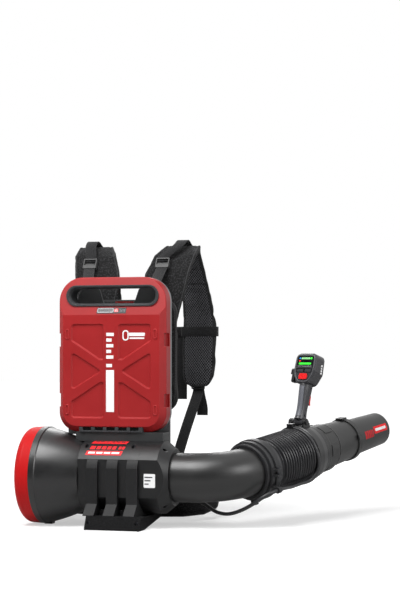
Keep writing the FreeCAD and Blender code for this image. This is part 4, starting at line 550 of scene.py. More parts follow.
@dataclass(frozen=True)
class PadCover:
    """Cover of a padded piece: air mesh inside, coarse cloth outside, and a bound, stitched edge."""

    name: str
    thread: Colour = screen(104, 104, 108)
    hole: Colour = screen(6, 6, 7)
    cloth: Colour = screen(53, 53, 55)
    tape: Colour = screen(17, 17, 18)
    mesh_pitch: float = 0.0056
    cloth_pitch: float = 0.0013
    cloth_specks: float = 270.0
    speck: tuple[float, float] = (0.49, 0.62)
    bound: float = 0.0055
    seam_inset: float = 0.0018
    stitch_pitch: float = 0.0035
    relief: float = 0.0008

    def build(self) -> bpy.types.Material:
        """Material of this cover, which reads the piece's own cloth map, room and outer attributes."""
        material, s, surface = new_material(self.name)
        where = s.add("UVMap", uv_map="cloth").outputs[0]
        room = s.add("Attribute", attribute_name="room").outputs["Fac"]
        outer = s.spread(s.add("Attribute", attribute_name="outer").outputs["Fac"], 0.35, 0.65)
        mesh = s.effect("mesh", {"Vector": where, "Pitch": self.mesh_pitch})
        weave = s.effect("weave", {"Vector": where, "Pitch": self.cloth_pitch})
        thread = s.blend(mesh.outputs["Tone"], tuple(c * 0.4 for c in self.thread), self.thread)
        inside = s.blend(mesh.outputs["Thread"], self.hole, thread)
        speck = s.spread(s.noise(where, self.cloth_specks, 2.0), *self.speck)
        outside = s.blend(s.sum("MULTIPLY", speck, weave.outputs["Height"]),
                          tuple(c * 0.08 for c in self.cloth), self.cloth)
        face = s.blend(outer, inside, outside)
        edge = s.sum("SUBTRACT", 1.0, s.spread(room, self.bound - 0.0004, self.bound + 0.0004))
        tape = s.blend(weave.outputs["Height"], tuple(c * 0.5 for c in self.tape), self.tape)
        along = s.add("SeparateXYZ", {0: where}).outputs[0]
        wave = s.sum("SINE", s.sum("MULTIPLY", along, 2 * math.pi / self.stitch_pitch))
        dash = s.spread(wave, 0.0, 0.3)
        off = s.sum("ABSOLUTE", s.sum("SUBTRACT", room, self.bound - self.seam_inset))
        line = s.sum("SUBTRACT", 1.0, s.spread(off, 0.0002, 0.0005))
        bound = s.blend(s.sum("MULTIPLY", s.sum("MULTIPLY", dash, line), 0.5), tape, self.thread)
        s.feed(surface.inputs["Base Color"], s.blend(edge, face, bound))
        surface.inputs["Specular IOR Level"].default_value = 0.25
        surface.inputs["Sheen Weight"].default_value = 0.1
        s.feed(surface.inputs["Roughness"], s.spread(edge, 0.0, 1.0, 0.92, 0.7))
        inner_height = s.sum("MULTIPLY", mesh.outputs["Thread"], s.sum("SUBTRACT", 1.0, outer))
        outer_height = s.sum("MULTIPLY", weave.outputs["Height"], s.sum("MULTIPLY", outer, 0.5))
        relief = s.sum("ADD", inner_height, outer_height)
        relief = s.sum("MULTIPLY", relief, s.sum("SUBTRACT", 1.0, edge))
        bump = s.add("Bump", {"Height": relief, "Distance": self.relief, "Strength": 0.8})
        s.feed(surface.inputs["Normal"], bump.outputs[0])
        return material


@dataclass(frozen=True)
class Lens:
    """Smooth dark window."""

    name: str
    colour: Colour

    def build(self) -> bpy.types.Material:
        """Material of this window."""
        material, s, surface = new_material(self.name)
        where = s.add("TexCoord").outputs["Object"]
        smear = s.spread(s.noise(where, 60.0, 3.0), 0.3, 0.7, 0.12, 0.2)
        s.feed(surface.inputs["Roughness"], smear)
        tone = s.blend(s.noise(where, 30.0, 2.0), self.colour, tuple(c * 1.3 for c in self.colour))
        s.feed(surface.inputs["Base Color"], tone)
        return material


@dataclass(frozen=True)
class Glow:
    """Lit diode or bar behind a window."""

    name: str
    colour: Colour
    strength: float = 0.9

    def build(self) -> bpy.types.Material:
        """Material of this light."""
        material, s, surface = new_material(self.name)
        where = s.add("TexCoord").outputs["Object"]
        spot = s.blend(s.noise(where, 400.0, 1.0), tuple(c * 0.7 for c in self.colour), self.colour)
        s.feed(surface.inputs["Base Color"], spot)
        s.feed(surface.inputs["Emission Color"], spot)
        surface.inputs["Emission Strength"].default_value = self.strength
        surface.inputs["Roughness"].default_value = 0.3
        return material


class Palette:
    """All finishes of the blower, built once."""

    BLACK = Moulded("matt black shell", screen(20, 20, 21), 0.36, 0.6, scuff_and_highlight_share=0.12)
    HOUSING = Moulded("matt black housing", screen(20, 20, 21), 0.44, 0.38, scuff_and_highlight_share=0.12)
    ELBOW = Moulded("matt black bend", screen(26, 26, 26), 0.38, 0.56, scuff_and_highlight_share=0.12)
    # Near-black: painted shade on the battery guard's slot floors, and the dark joint lines round the handle's
    # keys.
    SHADE = Moulded("shaded recess", screen(9, 9, 9), 0.8, 0.1, scuff_and_highlight_share=0.0)
    TUBE = Moulded("matt black tube", screen(34, 34, 34), 0.44, 0.5, scuff_and_highlight_share=0.14)
    DUCT = Moulded("air path plastic", screen(50, 50, 52), 0.5)
    BASE = Moulded("grained foot plastic", screen(25, 25, 26), 0.75, 0.08, 420.0, 0.0003, 0.2,
                   scuff_and_highlight_share=0.1, speckle=0.5)
    CRADLE = Moulded("cradle plastic", screen(23, 23, 24), 0.55, 0.3, 500.0, 0.0002, 0.2, scuff_and_highlight_share=0.1)
    CLAMP = Moulded("clamp plastic", screen(30, 30, 32), 0.48, scuff_and_highlight_share=0.18)
    # The strong edge lightening paints highlights on the rib crests.
    HOSE = Moulded("hose rubber", screen(22, 22, 25), 0.36, 0.6, scuff_and_highlight_share=0.5, edge_radius=0.0008)
    FRAME = Moulded("charcoal frame plastic", screen(40, 41, 42), 0.5)
    REAR_FRAME = Moulded("grey frame plastic", screen(100, 101, 102), 0.55, 0.3)
    # The brighter red on its edges is a painted highlight.
    RED = Moulded("red ring plastic", screen(184, 17, 19), 0.5, 0.15, 900.0, 0.00002, 0.03,
                  scuff_and_highlight_share=0.1, scuff_and_highlight_colour=(0.9, 0.12, 0.12))
    # The light red (226, 70, 70) on its edges and bevels is a painted highlight.
    BATTERY_RED = Moulded("satin red shell", screen(150, 28, 30), 0.45, 0.26, 700.0, 0.00008, 0.05,
                          0.0018, 0.6, screen(226, 70, 70), brow=(0.449, 0.3))
    BATTERY_GREY = Moulded("light grey shell", screen(118, 120, 122), 0.45, mottle=0.05)
    LINER = Moulded("dark liner plastic", screen(48, 49, 51), 0.5)
    # The light red on its edges is a painted highlight.
    GLOSS_RED = Moulded("red control plastic", screen(234, 36, 38), 0.3, 0.5, mottle=0.03,
                        scuff_and_highlight_colour=(0.95, 0.3, 0.3), coat=0.2)
    HANDLE = Moulded("handle plastic", screen(50, 50, 53), 0.38, 0.5, scuff_and_highlight_share=0.2)
    GRIP = Moulded("soft grip", screen(92, 94, 101), 0.42, 0.6, scuff_and_highlight_share=0.1)
    # Light grey rim: painted highlight on the rounded edge of the face plate.
    RIM_HIGHLIGHT = Moulded("face rim", screen(92, 93, 96), 0.4, 0.5, scuff_and_highlight_share=0.1)
    KEY = Moulded("soft key", screen(52, 52, 55), 0.5)
    CABLE = Moulded("cable jacket", screen(34, 34, 36), 0.4, 0.5, 1200.0, 0.00003, scuff_and_highlight_share=0.0)
    BUCKLE = Moulded("buckle plastic", screen(56, 56, 56), 0.5, 0.35, scuff_and_highlight_share=0.12)
    GREY_TRIM = Moulded("gauge trim", screen(150, 152, 155), 0.4, scuff_and_highlight_share=0.1)
    DARK_WINDOW = Lens("gauge window", screen(30, 31, 34))
    LENS = Lens("display lens", screen(14, 15, 17))
    STEEL = Metal("plated screws", screen(70, 70, 74), 0.4)
    BEARING = Metal("ground steel", screen(170, 170, 175), 0.3)
    ALUMINIUM = Metal("plain aluminium", screen(180, 182, 186), 0.4)
    WEBBING = Woven("black webbing", screen(43, 43, 45))
    CHEST_WEBBING = Woven("chest webbing", screen(46, 46, 48), half_width=0.011)
    WAIST_WEBBING = Woven("waist webbing", screen(46, 46, 48), half_width=0.019)
    PAD = PadCover("pad cover")
    BELT = PadCover("belt cover", screen(58, 58, 60), screen(16, 16, 17))
    WHITE_PRINT = Moulded("white print", screen(238, 238, 238), 0.5, 0.3, mottle=0.02, scuff_and_highlight_share=0.0)
    RED_PRINT = Moulded("red print", screen(224, 34, 40), 0.5, 0.3, mottle=0.03, scuff_and_highlight_share=0.0)
    DARK_RED_PRINT = Moulded("dark red print", screen(184, 32, 38), 0.5, 0.3, mottle=0.03, scuff_and_highlight_share=0.0)
    GREY_PRINT = Moulded("grey print", screen(70, 70, 72), 0.5, 0.3, mottle=0.03, scuff_and_highlight_share=0.0)
    GREEN_LIGHT = Glow("green bar", screen(60, 220, 60))
    PALE_LIGHT = Glow("pale green bar", screen(150, 225, 150), 0.6)
    BLUE_LIGHT = Glow("blue light", screen(40, 140, 230))
    RED_LIGHT = Glow("red light", screen(225, 40, 40))

    @staticmethod
    def get(finish: object) -> bpy.types.Material:
        """Material of a finish, built at its first use."""
        return bpy.data.materials.get(finish.name) or finish.build()


class Bench:
    """Operator modelling of one piece at a time."""

    CORNER_STEPS = 5
    FACING = 0.9

    @staticmethod
    def clear() -> None:
        """Leaves edit mode and deselects everything."""
        if bpy.context.object and bpy.context.object.mode != "OBJECT":
            bpy.ops.object.mode_set(mode="OBJECT")
        bpy.ops.object.select_all(action="DESELECT")

    @classmethod
    def take(cls, piece: bpy.types.Object) -> None:
        """Selects one piece alone, in object mode."""
        cls.clear()
        piece.select_set(True)
        bpy.context.view_layer.objects.active = piece

    @classmethod
    def edit(cls, piece: bpy.types.Object) -> None:
        """Opens one piece in edit mode."""
        cls.take(piece)
        bpy.ops.object.mode_set(mode="EDIT")

    @staticmethod
    def start(name: str) -> bpy.types.Object:
        """Names the new primitive and sets its place into its mesh."""
        piece = bpy.context.object
        piece.name = piece.data.name = name
        bpy.ops.object.transform_apply(location=True, rotation=True, scale=True)
        return piece

    @staticmethod
    def apply(piece: bpy.types.Object, kind: str, **settings: object) -> None:
        """Adds a modifier to the active piece and applies it.

        Args:
            piece: The piece.
            kind: Kind of the modifier.
            settings: Its settings.
        """
        modifier = piece.modifiers.new(kind.title(), kind)
        for key, value in settings.items():
            setattr(modifier, key, value)
        bpy.ops.object.modifier_apply(modifier=modifier.name)

    @staticmethod
    def close() -> None:
        """Merges the edited piece's doubles, turns its faces outwards and leaves edit mode."""
        bpy.ops.mesh.select_all(action="SELECT")
        bpy.ops.mesh.remove_doubles(threshold=1e-6)
        bpy.ops.mesh.normals_make_consistent(inside=False)
        bpy.ops.object.mode_set(mode="OBJECT")

    @staticmethod
    def pick(piece: bpy.types.Object, edges: object = None, faces: object = None) -> None:
        """Selects edges or faces of a piece in edit mode.

        Args:
            piece: Piece in edit mode.
            edges: Test that an edge has to pass, or None.
            faces: Test that a face has to pass, or None.
        """
        mesh = bmesh.from_edit_mesh(piece.data)
        bpy.ops.mesh.select_all(action="DESELECT")
        bpy.ops.mesh.select_mode(type="EDGE" if edges else "FACE")
        for item in (mesh.edges if edges else mesh.faces):
            item.select_set(bool((edges or faces)(item)))
        bmesh.update_edit_mesh(piece.data)

    @classmethod
    def turned(cls, name: str, profile: Sequence[tuple[float, float]],
               around: int = 96) -> bpy.types.Object:
        """Round piece about the X axis, drawn out of a circle ring by ring.

        Args:
            name: Name of the piece.
            profile: Closed line of (station, radius) points in millimetres.
            around: Corners of each ring.

        Returns:
            The piece, in its own axes.
        """
        cls.clear()
        s, r = profile[0]
        bpy.ops.mesh.primitive_circle_add(vertices=around, radius=r * MM, location=(s * MM, 0, 0),
                                          rotation=(0, math.pi / 2, 0))
        piece = cls.start(name)
        cls.edit(piece)
        bpy.ops.mesh.select_all(action="SELECT")
        for s1, r1 in [*profile[1:], profile[0]]:
            bpy.ops.mesh.extrude_region_move(TRANSFORM_OT_translate={"value": ((s1 - s) * MM, 0, 0)})
            if abs(r1 - r) > 1e-9:
                bpy.ops.transform.resize(value=(1, r1 / r, r1 / r), center_override=(s1 * MM, 0, 0))
            s, r = s1, r1
        cls.close()
        return piece

    @classmethod
    def plate(cls, name: str, size: tuple[float, float, float], centre: tuple[float, float, float],
              corner: float, thin: int = 1, rim: float = 0.12) -> bpy.types.Object:
        """Flat plate with round corners and a broken front rim.

        Args:
            name: Name of the piece.
            size: Its three sizes in millimetres.
            centre: Its middle in millimetres.
            corner: Radius of the corners in the flat plane.
            thin: Axis number of its thickness.
            rim: Bevel of its rims.

        Returns:
            The piece, in its own axes.
        """
        cls.clear()
        middle = [c * MM for c in centre]
        bpy.ops.mesh.primitive_cube_add(size=1, location=middle)
        piece = cls.start(name)
        cls.edit(piece)
        bpy.ops.mesh.select_all(action="SELECT")
        bpy.ops.transform.resize(value=[v * MM for v in size], center_override=middle)
        across = 0.5 * size[thin] * MM
        cls.pick(piece, edges=lambda e: abs((e.verts[1].co - e.verts[0].co)[thin]) > across)
        bpy.ops.mesh.bevel(offset=corner * MM, segments=cls.CORNER_STEPS, affect="EDGES")
        cls.pick(piece, faces=lambda f: abs(f.normal[thin]) > cls.FACING)
        bpy.ops.mesh.inset(thickness=rim * MM)
        lift = [1.0, 1.0, 1.0]
        lift[thin] = 1 + 2 * rim / size[thin]
        bpy.ops.transform.resize(value=lift, center_override=middle)
        cls.close()
        return piece

    @classmethod
    def framed(cls, name: str, size: tuple[float, float, float], centre: tuple[float, float, float],
               corner: float, width: float, thin: int = 1) -> bpy.types.Object:
        """Plate with its middle cut away, as a frame of one width.

        Args:
            name: Name of the piece.
            size: Its three sizes in millimetres.
            centre: Its middle in millimetres.
            corner: Radius of the corners in the flat plane.
            width: Width of the frame.
            thin: Axis number of its thickness.

        Returns:
            The piece, in its own axes.
        """
        piece = cls.plate(name, size, centre, corner, thin)
        cls.edit(piece)
        least = 0.3 * max(face.calc_area() for face in bmesh.from_edit_mesh(piece.data).faces)
        cls.pick(piece, faces=lambda f: abs(f.normal[thin]) > cls.FACING and f.calc_area() > least)
        bpy.ops.mesh.inset(thickness=width * MM)
        bpy.ops.mesh.bridge_edge_loops()
        cls.close()
        return piece


def settle(piece: bpy.types.Object, body: Body, finish: object, axes: Axes | None = None,
           crease: float = 35.0) -> bpy.types.Object:
    """Gives a finished piece its place, finish and body.

    Args:
        piece: The piece, in the axes' own directions.
        body: Body that it rides on.
        finish: Finish of its whole surface.
        axes: Place that it is carried to, or None where it is in place.
        crease: Angle in degrees above which an edge stays sharp.

    Returns:
        The piece.
    """
    if axes is not None:
        piece.data.transform(axes.matrix)
    piece.data.materials.clear()
    piece.data.materials.append(Palette.get(finish))
    Bench.take(piece)
    bpy.ops.object.shade_smooth_by_angle(angle=math.radians(crease))
    piece.select_set(False)
    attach(piece, body.value)
    LOG.info("%s: %d faces on %s", piece.name, len(piece.data.polygons), body.value)
    return piece


def plates(parts: Sequence[tuple], body: Body, axes: Axes | None = None, rim: float = 0.12,
           thin: int = 1) -> None:
    """Makes flat plates of one body.

    Args:
        parts: Name, three sizes, middle, corner radius and finish of each.
        body: Body that they ride on.
        axes: Place that they are carried to, or None where they are in place.
        rim: Bevel of their rims.
        thin: Axis number of their thickness.
    """
    for name, size, centre, corner, finish in parts:
        settle(Bench.plate(name, size, centre, corner, thin, rim), body, finish, axes)


@dataclass
class Studio:
    """Camera, lamps, backdrop and floor."""

    lens_px: float = 1700.0
    image_height: float = 593.0
    sensor_mm: float = 36.0
    azimuth: float = 16.0
    place: tuple[float, float, float] = (1.17625, -3.43699, 0.37405)
    horizon_px: float = 350.0
    ambient: float = 0.22
    front_gloss: float = 0.15
    front_reach: tuple[float, float] = (-0.75, 0.1)
    floor_size: float = 30.0
    floor_z: float = -0.0002
    floor_tone: float = 0.5
    floor_gloss: float = 0.15
    floor_lift: tuple[float, float] = (0.5, 1.0)
    floor_reach: tuple[float, float] = (0.45, 1.5)
    lamps: tuple = (("top", (-0.25, -1.05, 2.1), (0.05, 0.0, 0.2), 1.3, 64.0),
                    ("right", (2.4, -0.9, 1.3), (0.1, 0.1, 0.2), 1.2, 30.0),
                    ("left", (-2.1, -1.4, 1.3), (0.0, 0.0, 0.2), 0.9, 8.0),
                    ("rear", (-0.6, 2.2, 1.6), (0.1, 0.1, 0.3), 1.0, 16.0))

    def build(self) -> None:
        """Makes the camera, the lamps, the backdrop and the floor."""
        self.camera()
        for name, place, aim, size, power in self.lamps:
            self.lamp(name, Vector(place), Vector(aim), size, power)
        self.backdrop()
        self.floor()
        bpy.context.scene.view_settings.view_transform = "Standard"

    def camera(self) -> None:
        """Camera at the photograph's angle."""
        data = bpy.data.cameras.new("camera")
        data.lens = self.lens_px * self.sensor_mm / self.image_height
        data.sensor_width = self.sensor_mm
        data.shift_y = (self.horizon_px - self.image_height / 2) / self.image_height
        data.clip_end = 50
        camera = stand("camera", data)
        camera.location = self.place
        camera.rotation_euler = (math.pi / 2, 0, math.radians(self.azimuth))
        bpy.context.scene.camera = camera

    def lamp(self, name: str, place: Vector, aim: Vector, size: float, power: float) -> None:
        """Square soft lamp that looks at a point.

        Args:
            name: Name of the lamp.
            place: Where it stands, in metres.
            aim: Point that it looks at.
            size: Side of its square, in metres.
            power: Its power in watts.
        """
        data = bpy.data.lights.new(name, "AREA")
        data.size = size
        data.energy = power
        lamp = stand(name, data)
        lamp.location = place
        lamp.rotation_euler = (aim - place).to_track_quat("-Z", "Y").to_euler()

    def backdrop(self) -> None:
        """White to the eye and in reflections, softer as a light."""
        world = bpy.data.worlds.new("backdrop")
        bpy.context.scene.world = world
        world.use_nodes = True
        s = Shader(world.node_tree)
        background = world.node_tree.nodes["Background"]
        background.inputs["Color"].default_value = (1, 1, 1, 1)
        rays = s.add("LightPath").outputs
        depth = s.add("SeparateXYZ", {0: s.add("TexCoord").outputs["Generated"]}).outputs[1]
        behind = s.spread(depth, *self.front_reach, self.front_gloss, 1.0)
        mirrored = s.sum("MAXIMUM", rays["Is Glossy Ray"], rays["Is Transmission Ray"])
        feeds = {"Value": mirrored, "To Min": self.ambient, "To Max": behind}
        softly = s.add("MapRange", feeds).outputs[0]
        feeds = {"Value": rays["Is Camera Ray"], "To Min": softly, "To Max": 1.0}
        s.feed(background.inputs["Strength"], s.add("MapRange", feeds).outputs[0])

    def floor(self) -> None:
        """Pale floor that fades into the backdrop and keeps the shadow."""
        Bench.clear()
        bpy.ops.mesh.primitive_plane_add(size=self.floor_size, location=(0, 0, self.floor_z))
        floor = bpy.context.object
        floor.name = "floor"
        bpy.ops.object.transform_apply(location=True, rotation=True, scale=True)
        material, s, surface = new_material("pale floor")
        tone = self.floor_tone
        surface.inputs["Base Color"].default_value = (tone, tone, tone, 1)
        surface.inputs["Roughness"].default_value = 0.9
        surface.inputs["Specular IOR Level"].default_value = 0.0
        surface.inputs["Emission Color"].default_value = (1, 1, 1, 1)
        rays = s.add("LightPath").outputs
        where = s.add("TexCoord").outputs["Object"]
        away = s.add("VectorMath", {0: where}, operation="LENGTH").outputs["Value"]
        lift = s.spread(away, *self.floor_reach, *self.floor_lift)
        mirrored = s.sum("MAXIMUM", rays["Is Glossy Ray"], rays["Is Transmission Ray"])
        seen = s.sum("ADD", rays["Is Camera Ray"], s.sum("MULTIPLY", mirrored, self.floor_gloss))
        s.feed(surface.inputs["Emission Strength"], s.sum("MULTIPLY", seen, lift))
        floor.data.materials.append(material)


@dataclass
class Cable:
    """Control cable from the fan housing to the handle, in four stretches."""

    radius: float = 4.0
    lengths: dict[str, float] = field(default_factory=lambda: {
        "cable_lower": 0.2426, "cable_hose_rear": 0.0993,
        "cable_hose_front": 0.0747, "cable_upper": 0.1121})
    free_route: tuple = ((139.806, 45, 55), (169, 45, 55), (190, 43.5, 46), (212, 39, 31), (240, 32, 26),
                         (268, 25, 33.5), (296, 20.5, 47.5), (319.2, 19.9, 63.8), (334.8, 27.7, 73.6))
    clip_route: tuple = ((-8, -29, 79), (2, -29, 79))
    rear_route: tuple = ((15, -29, 79), (40, -34, 75), (64, -40, 71.5), (83.4, -42, 70), (98.6, -42, 70))
    front_route: tuple = ((111.4, -42, 70), (127.4, -43, 70.3), (142, -37, 70.5), (154, -25, 69.5))
    upper_route: tuple = ((158, -6, 66.5), (158, 18, 63), (158, 41, 63), (158, 62, 63), (158, 76, 62.4),
                          (158, 86, 62))
    boot_root: float = 0.4
    boot_start: float = 3.0
    boot_folds: int = 5
    boot_pitch: float = 3.4
    boot_r: float = 7.4
    boot_taper: float = 0.6
    boot_end: tuple[float, float] = (22.0, 4.9)
    boot_bore: float = 4.25

    def routes(self) -> dict[str, list[Vector]]:
        """Route points of each stretch, in metres.

        The free route is in the object's millimetres. The others are stations along the air tube,
        degrees up from its right and distances from its axis.
        """
        free = [mm(*p) for p in self.free_route]
        clip, rear, front, upper = ([LAYOUT.tube_point(*p) for p in route] for route in (
            self.clip_route, self.rear_route, self.front_route, self.upper_route))
        join = (front[-1] + upper[0]) / 2
        return {"cable_lower": free + clip, "cable_hose_rear": clip[-1:] + rear,
                "cable_hose_front": rear[-1:] + front + [join], "cable_upper": [join] + upper}

    def line(self, name: str, points: Sequence[Vector], radius: float) -> bpy.types.Object:
        """Smooth line on its route points, as thick as asked.

        Args:
            name: Name of the piece.
            points: Control points.
            radius: Radius of the tube, or 0 for the bare line.

        Returns:
            The curve.
        """
        curve = bpy.data.curves.new(name, "CURVE")
        curve.dimensions = "3D"
        spline = curve.splines.new("NURBS")
        spline.points.add(len(points) - 1)
        for place, point in zip(spline.points, points):
            place.co = (*point, 1.0)
        spline.order_u = 3
        spline.use_endpoint_u = True
        curve.resolution_u = 16
        curve.bevel_resolution = 5
        curve.bevel_depth = radius
        curve.use_fill_caps = radius > 0
        return stand(name, curve)

    def stretch(self, node: str, name: str, points: Sequence[Vector], body: Body | None,
                across: tuple[str, str, float, float] | None = None) -> None:
        """One stretch of the cable, riding on a body, or baked in place where it spans two.

        Args:
            node: Solid that it stands for.
            name: Name of the piece.
            points: Its route.
            body: Body that it rides on, or None.
            across: The two bodies and the stations that it spans; where given, it is baked in place and rides
                on no body.
        """
        curves = self.line(name, points, self.radius * MM), self.line(name + "_line", points, 0.0)
        depsgraph = bpy.context.evaluated_depsgraph_get()
        tube, bare = (bpy.data.meshes.new_from_object(curve.evaluated_get(depsgraph))
                      for curve in curves)
        for curve in curves:
            bpy.data.objects.remove(curve)
        piece = stand(name, tube)
        for face in tube.polygons:
            face.use_smooth = True
        if across:
            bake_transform(piece)
        else:
            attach(piece, body.value)
        piece.data.materials.append(Palette.get(Palette.CABLE))
        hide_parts(node)
        LOG.info("%s: cord of %d points", name, len(points))

    def build(self) -> None:
        """Makes the four stretches, then the boot at the housing."""
        routes = self.routes()
        mid = LAYOUT.hose_mid
        self.stretch("cable_lower", "lower_cable", routes["cable_lower"], Body.PACK)
        self.stretch("cable_hose_rear", "hose_cable_rear", routes["cable_hose_rear"], None,
                     ("pack_frame", "hose_middle", 23.0, mid))
        self.stretch("cable_hose_front", "hose_cable_front", routes["cable_hose_front"], None,
                     ("hose_middle", "air_tube", mid + LAYOUT.rib_pitch, mid + 7 * LAYOUT.rib_pitch))
        self.stretch("cable_upper", "upper_cable", routes["cable_upper"], Body.TUBE)
        self.boot(routes["cable_lower"][0])

    def boot(self, place: Vector) -> None:
        """Folded rubber boot where the cable leaves the housing."""
        profile = [(self.boot_root, self.boot_r + 0.2)]
        for i in range(self.boot_folds):
            s = self.boot_start + self.boot_pitch * i
            r = self.boot_r - self.boot_taper * i
            profile += [(s, r), (s + 0.3, r - 0.9), (s + 1.5, r - 0.9), (s + 1.8, r)]
        profile += [self.boot_end, (self.boot_end[0], self.boot_bore), (self.boot_root, self.boot_bore)]
        boot = Bench.turned("cable_boot", profile, 40)
        axes = Axes(place, Vector((1, 0, 0)), Vector((0, 0, 1)))
        settle(boot, Body.PACK, Palette.CABLE, axes)


@dataclass
class Hose:
    """Ribbed hose: two halves baked in place, and the rigid rib between them."""

    valley_r: float = 56.5
    crest_r: float = 62.5
    bore_r: float = 53.0
    cuff_r: float = 59.5
    cuff_start: float = 23.3
    front_end: float = 170.8
    rib_line: tuple = ((0.0, 0.0), (0.16, 0.0), (0.23, 0.12), (0.32, 0.55), (0.4, 0.9), (0.46, 1.0),
                       (0.53, 0.82), (0.69, 0.82), (0.76, 1.0), (0.83, 0.9), (0.9, 0.5), (0.96, 0.1))
    bore_step: float = 5.0

    def ribs(self, start: float, count: int) -> list[tuple[float, float]]:
        """Outer line of a run of ribs, each with two fine beads on its crest."""
        height = self.crest_r - self.valley_r
        return [(start + (i + share) * LAYOUT.rib_pitch, self.valley_r + height * rise)
                for i in range(count) for share, rise in self.rib_line]

    def bore(self, start: float, end: float) -> list[tuple[float, float]]:
        """Inner line of the hose from its end back to its start, in short steps for bending."""
        steps = max(2, round((end - start) / self.bore_step))
        return [(end - (end - start) * i / steps, self.bore_r) for i in range(steps + 1)]

    def build(self) -> None:
        """Makes the hose: two halves baked in place and the middle rib."""
        first = LAYOUT.hose_start
        mid = LAYOUT.hose_mid
        last = mid + LAYOUT.rib_pitch
        end = last + LAYOUT.ribs * LAYOUT.rib_pitch
        cuff = [(self.cuff_start, self.cuff_r), (first - 6, self.cuff_r), (first - 4, self.valley_r)]
        rear = cuff + self.ribs(first, LAYOUT.ribs) + [(mid, self.valley_r)]
        rear += self.bore(self.cuff_start, mid)
        self.bend("hose_rear_ribs", rear, "hose_rear", "pack_frame", "hose_middle")
        band = self.ribs(mid, 1) + [(last, self.valley_r)] + self.bore(mid, last)
        piece = Bench.turned("hose_middle_rib", band)
        settle(piece, Body.HOSE, Palette.HOSE, LAYOUT.tube)
        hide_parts("hose_mid_band")
        front = self.ribs(last, LAYOUT.ribs) + [(end, self.valley_r), (self.front_end, self.valley_r)]
        front += self.bore(last, self.front_end)
        self.bend("hose_front_ribs", front, "hose_front", "hose_middle", "air_tube")

    def bend(self, name: str, line: Sequence[tuple[float, float]], node: str, first: str, second: str) -> None:
        """Makes one half of the hose, baked in place.

        Args:
            name: Name of the piece.
            line: Its closed profile.
            node: Solid that it stands for.
            first: Body at its rear, named in the log.
            second: Body at its front, named in the log.
        """
        piece = Bench.turned(name, line)
        piece.data.transform(LAYOUT.tube.matrix)
        piece.data.materials.append(Palette.get(Palette.HOSE))
        for face in piece.data.polygons:
            face.use_smooth = True
        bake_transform(piece)
        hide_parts(node)
        LOG.info("%s: %d faces between %s and %s", name, len(piece.data.polygons), first, second)


@dataclass
class PadPath:
    """Middle line of a padded piece, with its width, for finding places on its cover."""

    STEPS = 24

    line: np.ndarray
    middle: np.ndarray
    half: np.ndarray
    plane: tuple[int, int]
    wide: int
    outward: float

    @classmethod
    def smooth(cls, rows: Sequence[Sequence[float]], plane: tuple[int, int], wide: int,
               outward: float) -> "PadPath":
        """Path through rows of plane place, low edge and high edge, in millimetres.

        Args:
            rows: Two plane coordinates, low edge and high edge of each section.
            plane: Axis numbers of the plane coordinates.
            wide: Axis number of the width.
            outward: 1 where the outer side is left of the path, or -1.

        Returns:
            The path in metres, with close steps.
        """
        known = np.array(rows, float) * MM
        steps = np.concatenate([[0], np.cumsum(np.linalg.norm(np.diff(known[:, :2], axis=0), axis=1))])
        tangent = np.gradient(known, steps, axis=0)
        fine = []
        for i in range(len(known) - 1):
            run = steps[i + 1] - steps[i]
            for t in np.linspace(0, 1, cls.STEPS, endpoint=i == len(known) - 2):
                fine.append((2 * t ** 3 - 3 * t ** 2 + 1) * known[i]
                            + (t ** 3 - 2 * t ** 2 + t) * run * tangent[i]
                            + (3 * t ** 2 - 2 * t ** 3) * known[i + 1]
                            + (t ** 3 - t ** 2) * run * tangent[i + 1])
        fine = np.array(fine)
        low, high = fine[:, 2], fine[:, 3]
        return cls(fine[:, :2], (low + high) / 2, (high - low) / 2, plane, wide, outward)

    def locate(self, points: np.ndarray) -> dict[str, np.ndarray]:
        """Places of points on the cover.

        Args:
            points: Points of the piece.

        Returns:
            Length along, place across, room to the edge and distance to the outer side.
        """
        flat = points[:, self.plane]
        nearest = np.argmin(((flat[:, None, :] - self.line[None, :, :]) ** 2).sum(2), axis=1)
        tangent = np.gradient(self.line, axis=0)
        tangent /= np.linalg.norm(tangent, axis=1)[:, None]
        length = np.concatenate([[0], np.cumsum(np.linalg.norm(np.diff(self.line, axis=0), axis=1))])
        off = flat - self.line[nearest]
        t = tangent[nearest]
        along = length[nearest] + (off * t).sum(1)
        side = (off[:, 1] * t[:, 0] - off[:, 0] * t[:, 1]) * self.outward
        across = points[:, self.wide] - self.middle[nearest]
        room = np.minimum(self.half[nearest] - np.abs(across), np.minimum(along, length[-1] - along))
        return {"along": along, "across": across, "room": room, "side": side, "half": self.half[nearest]}


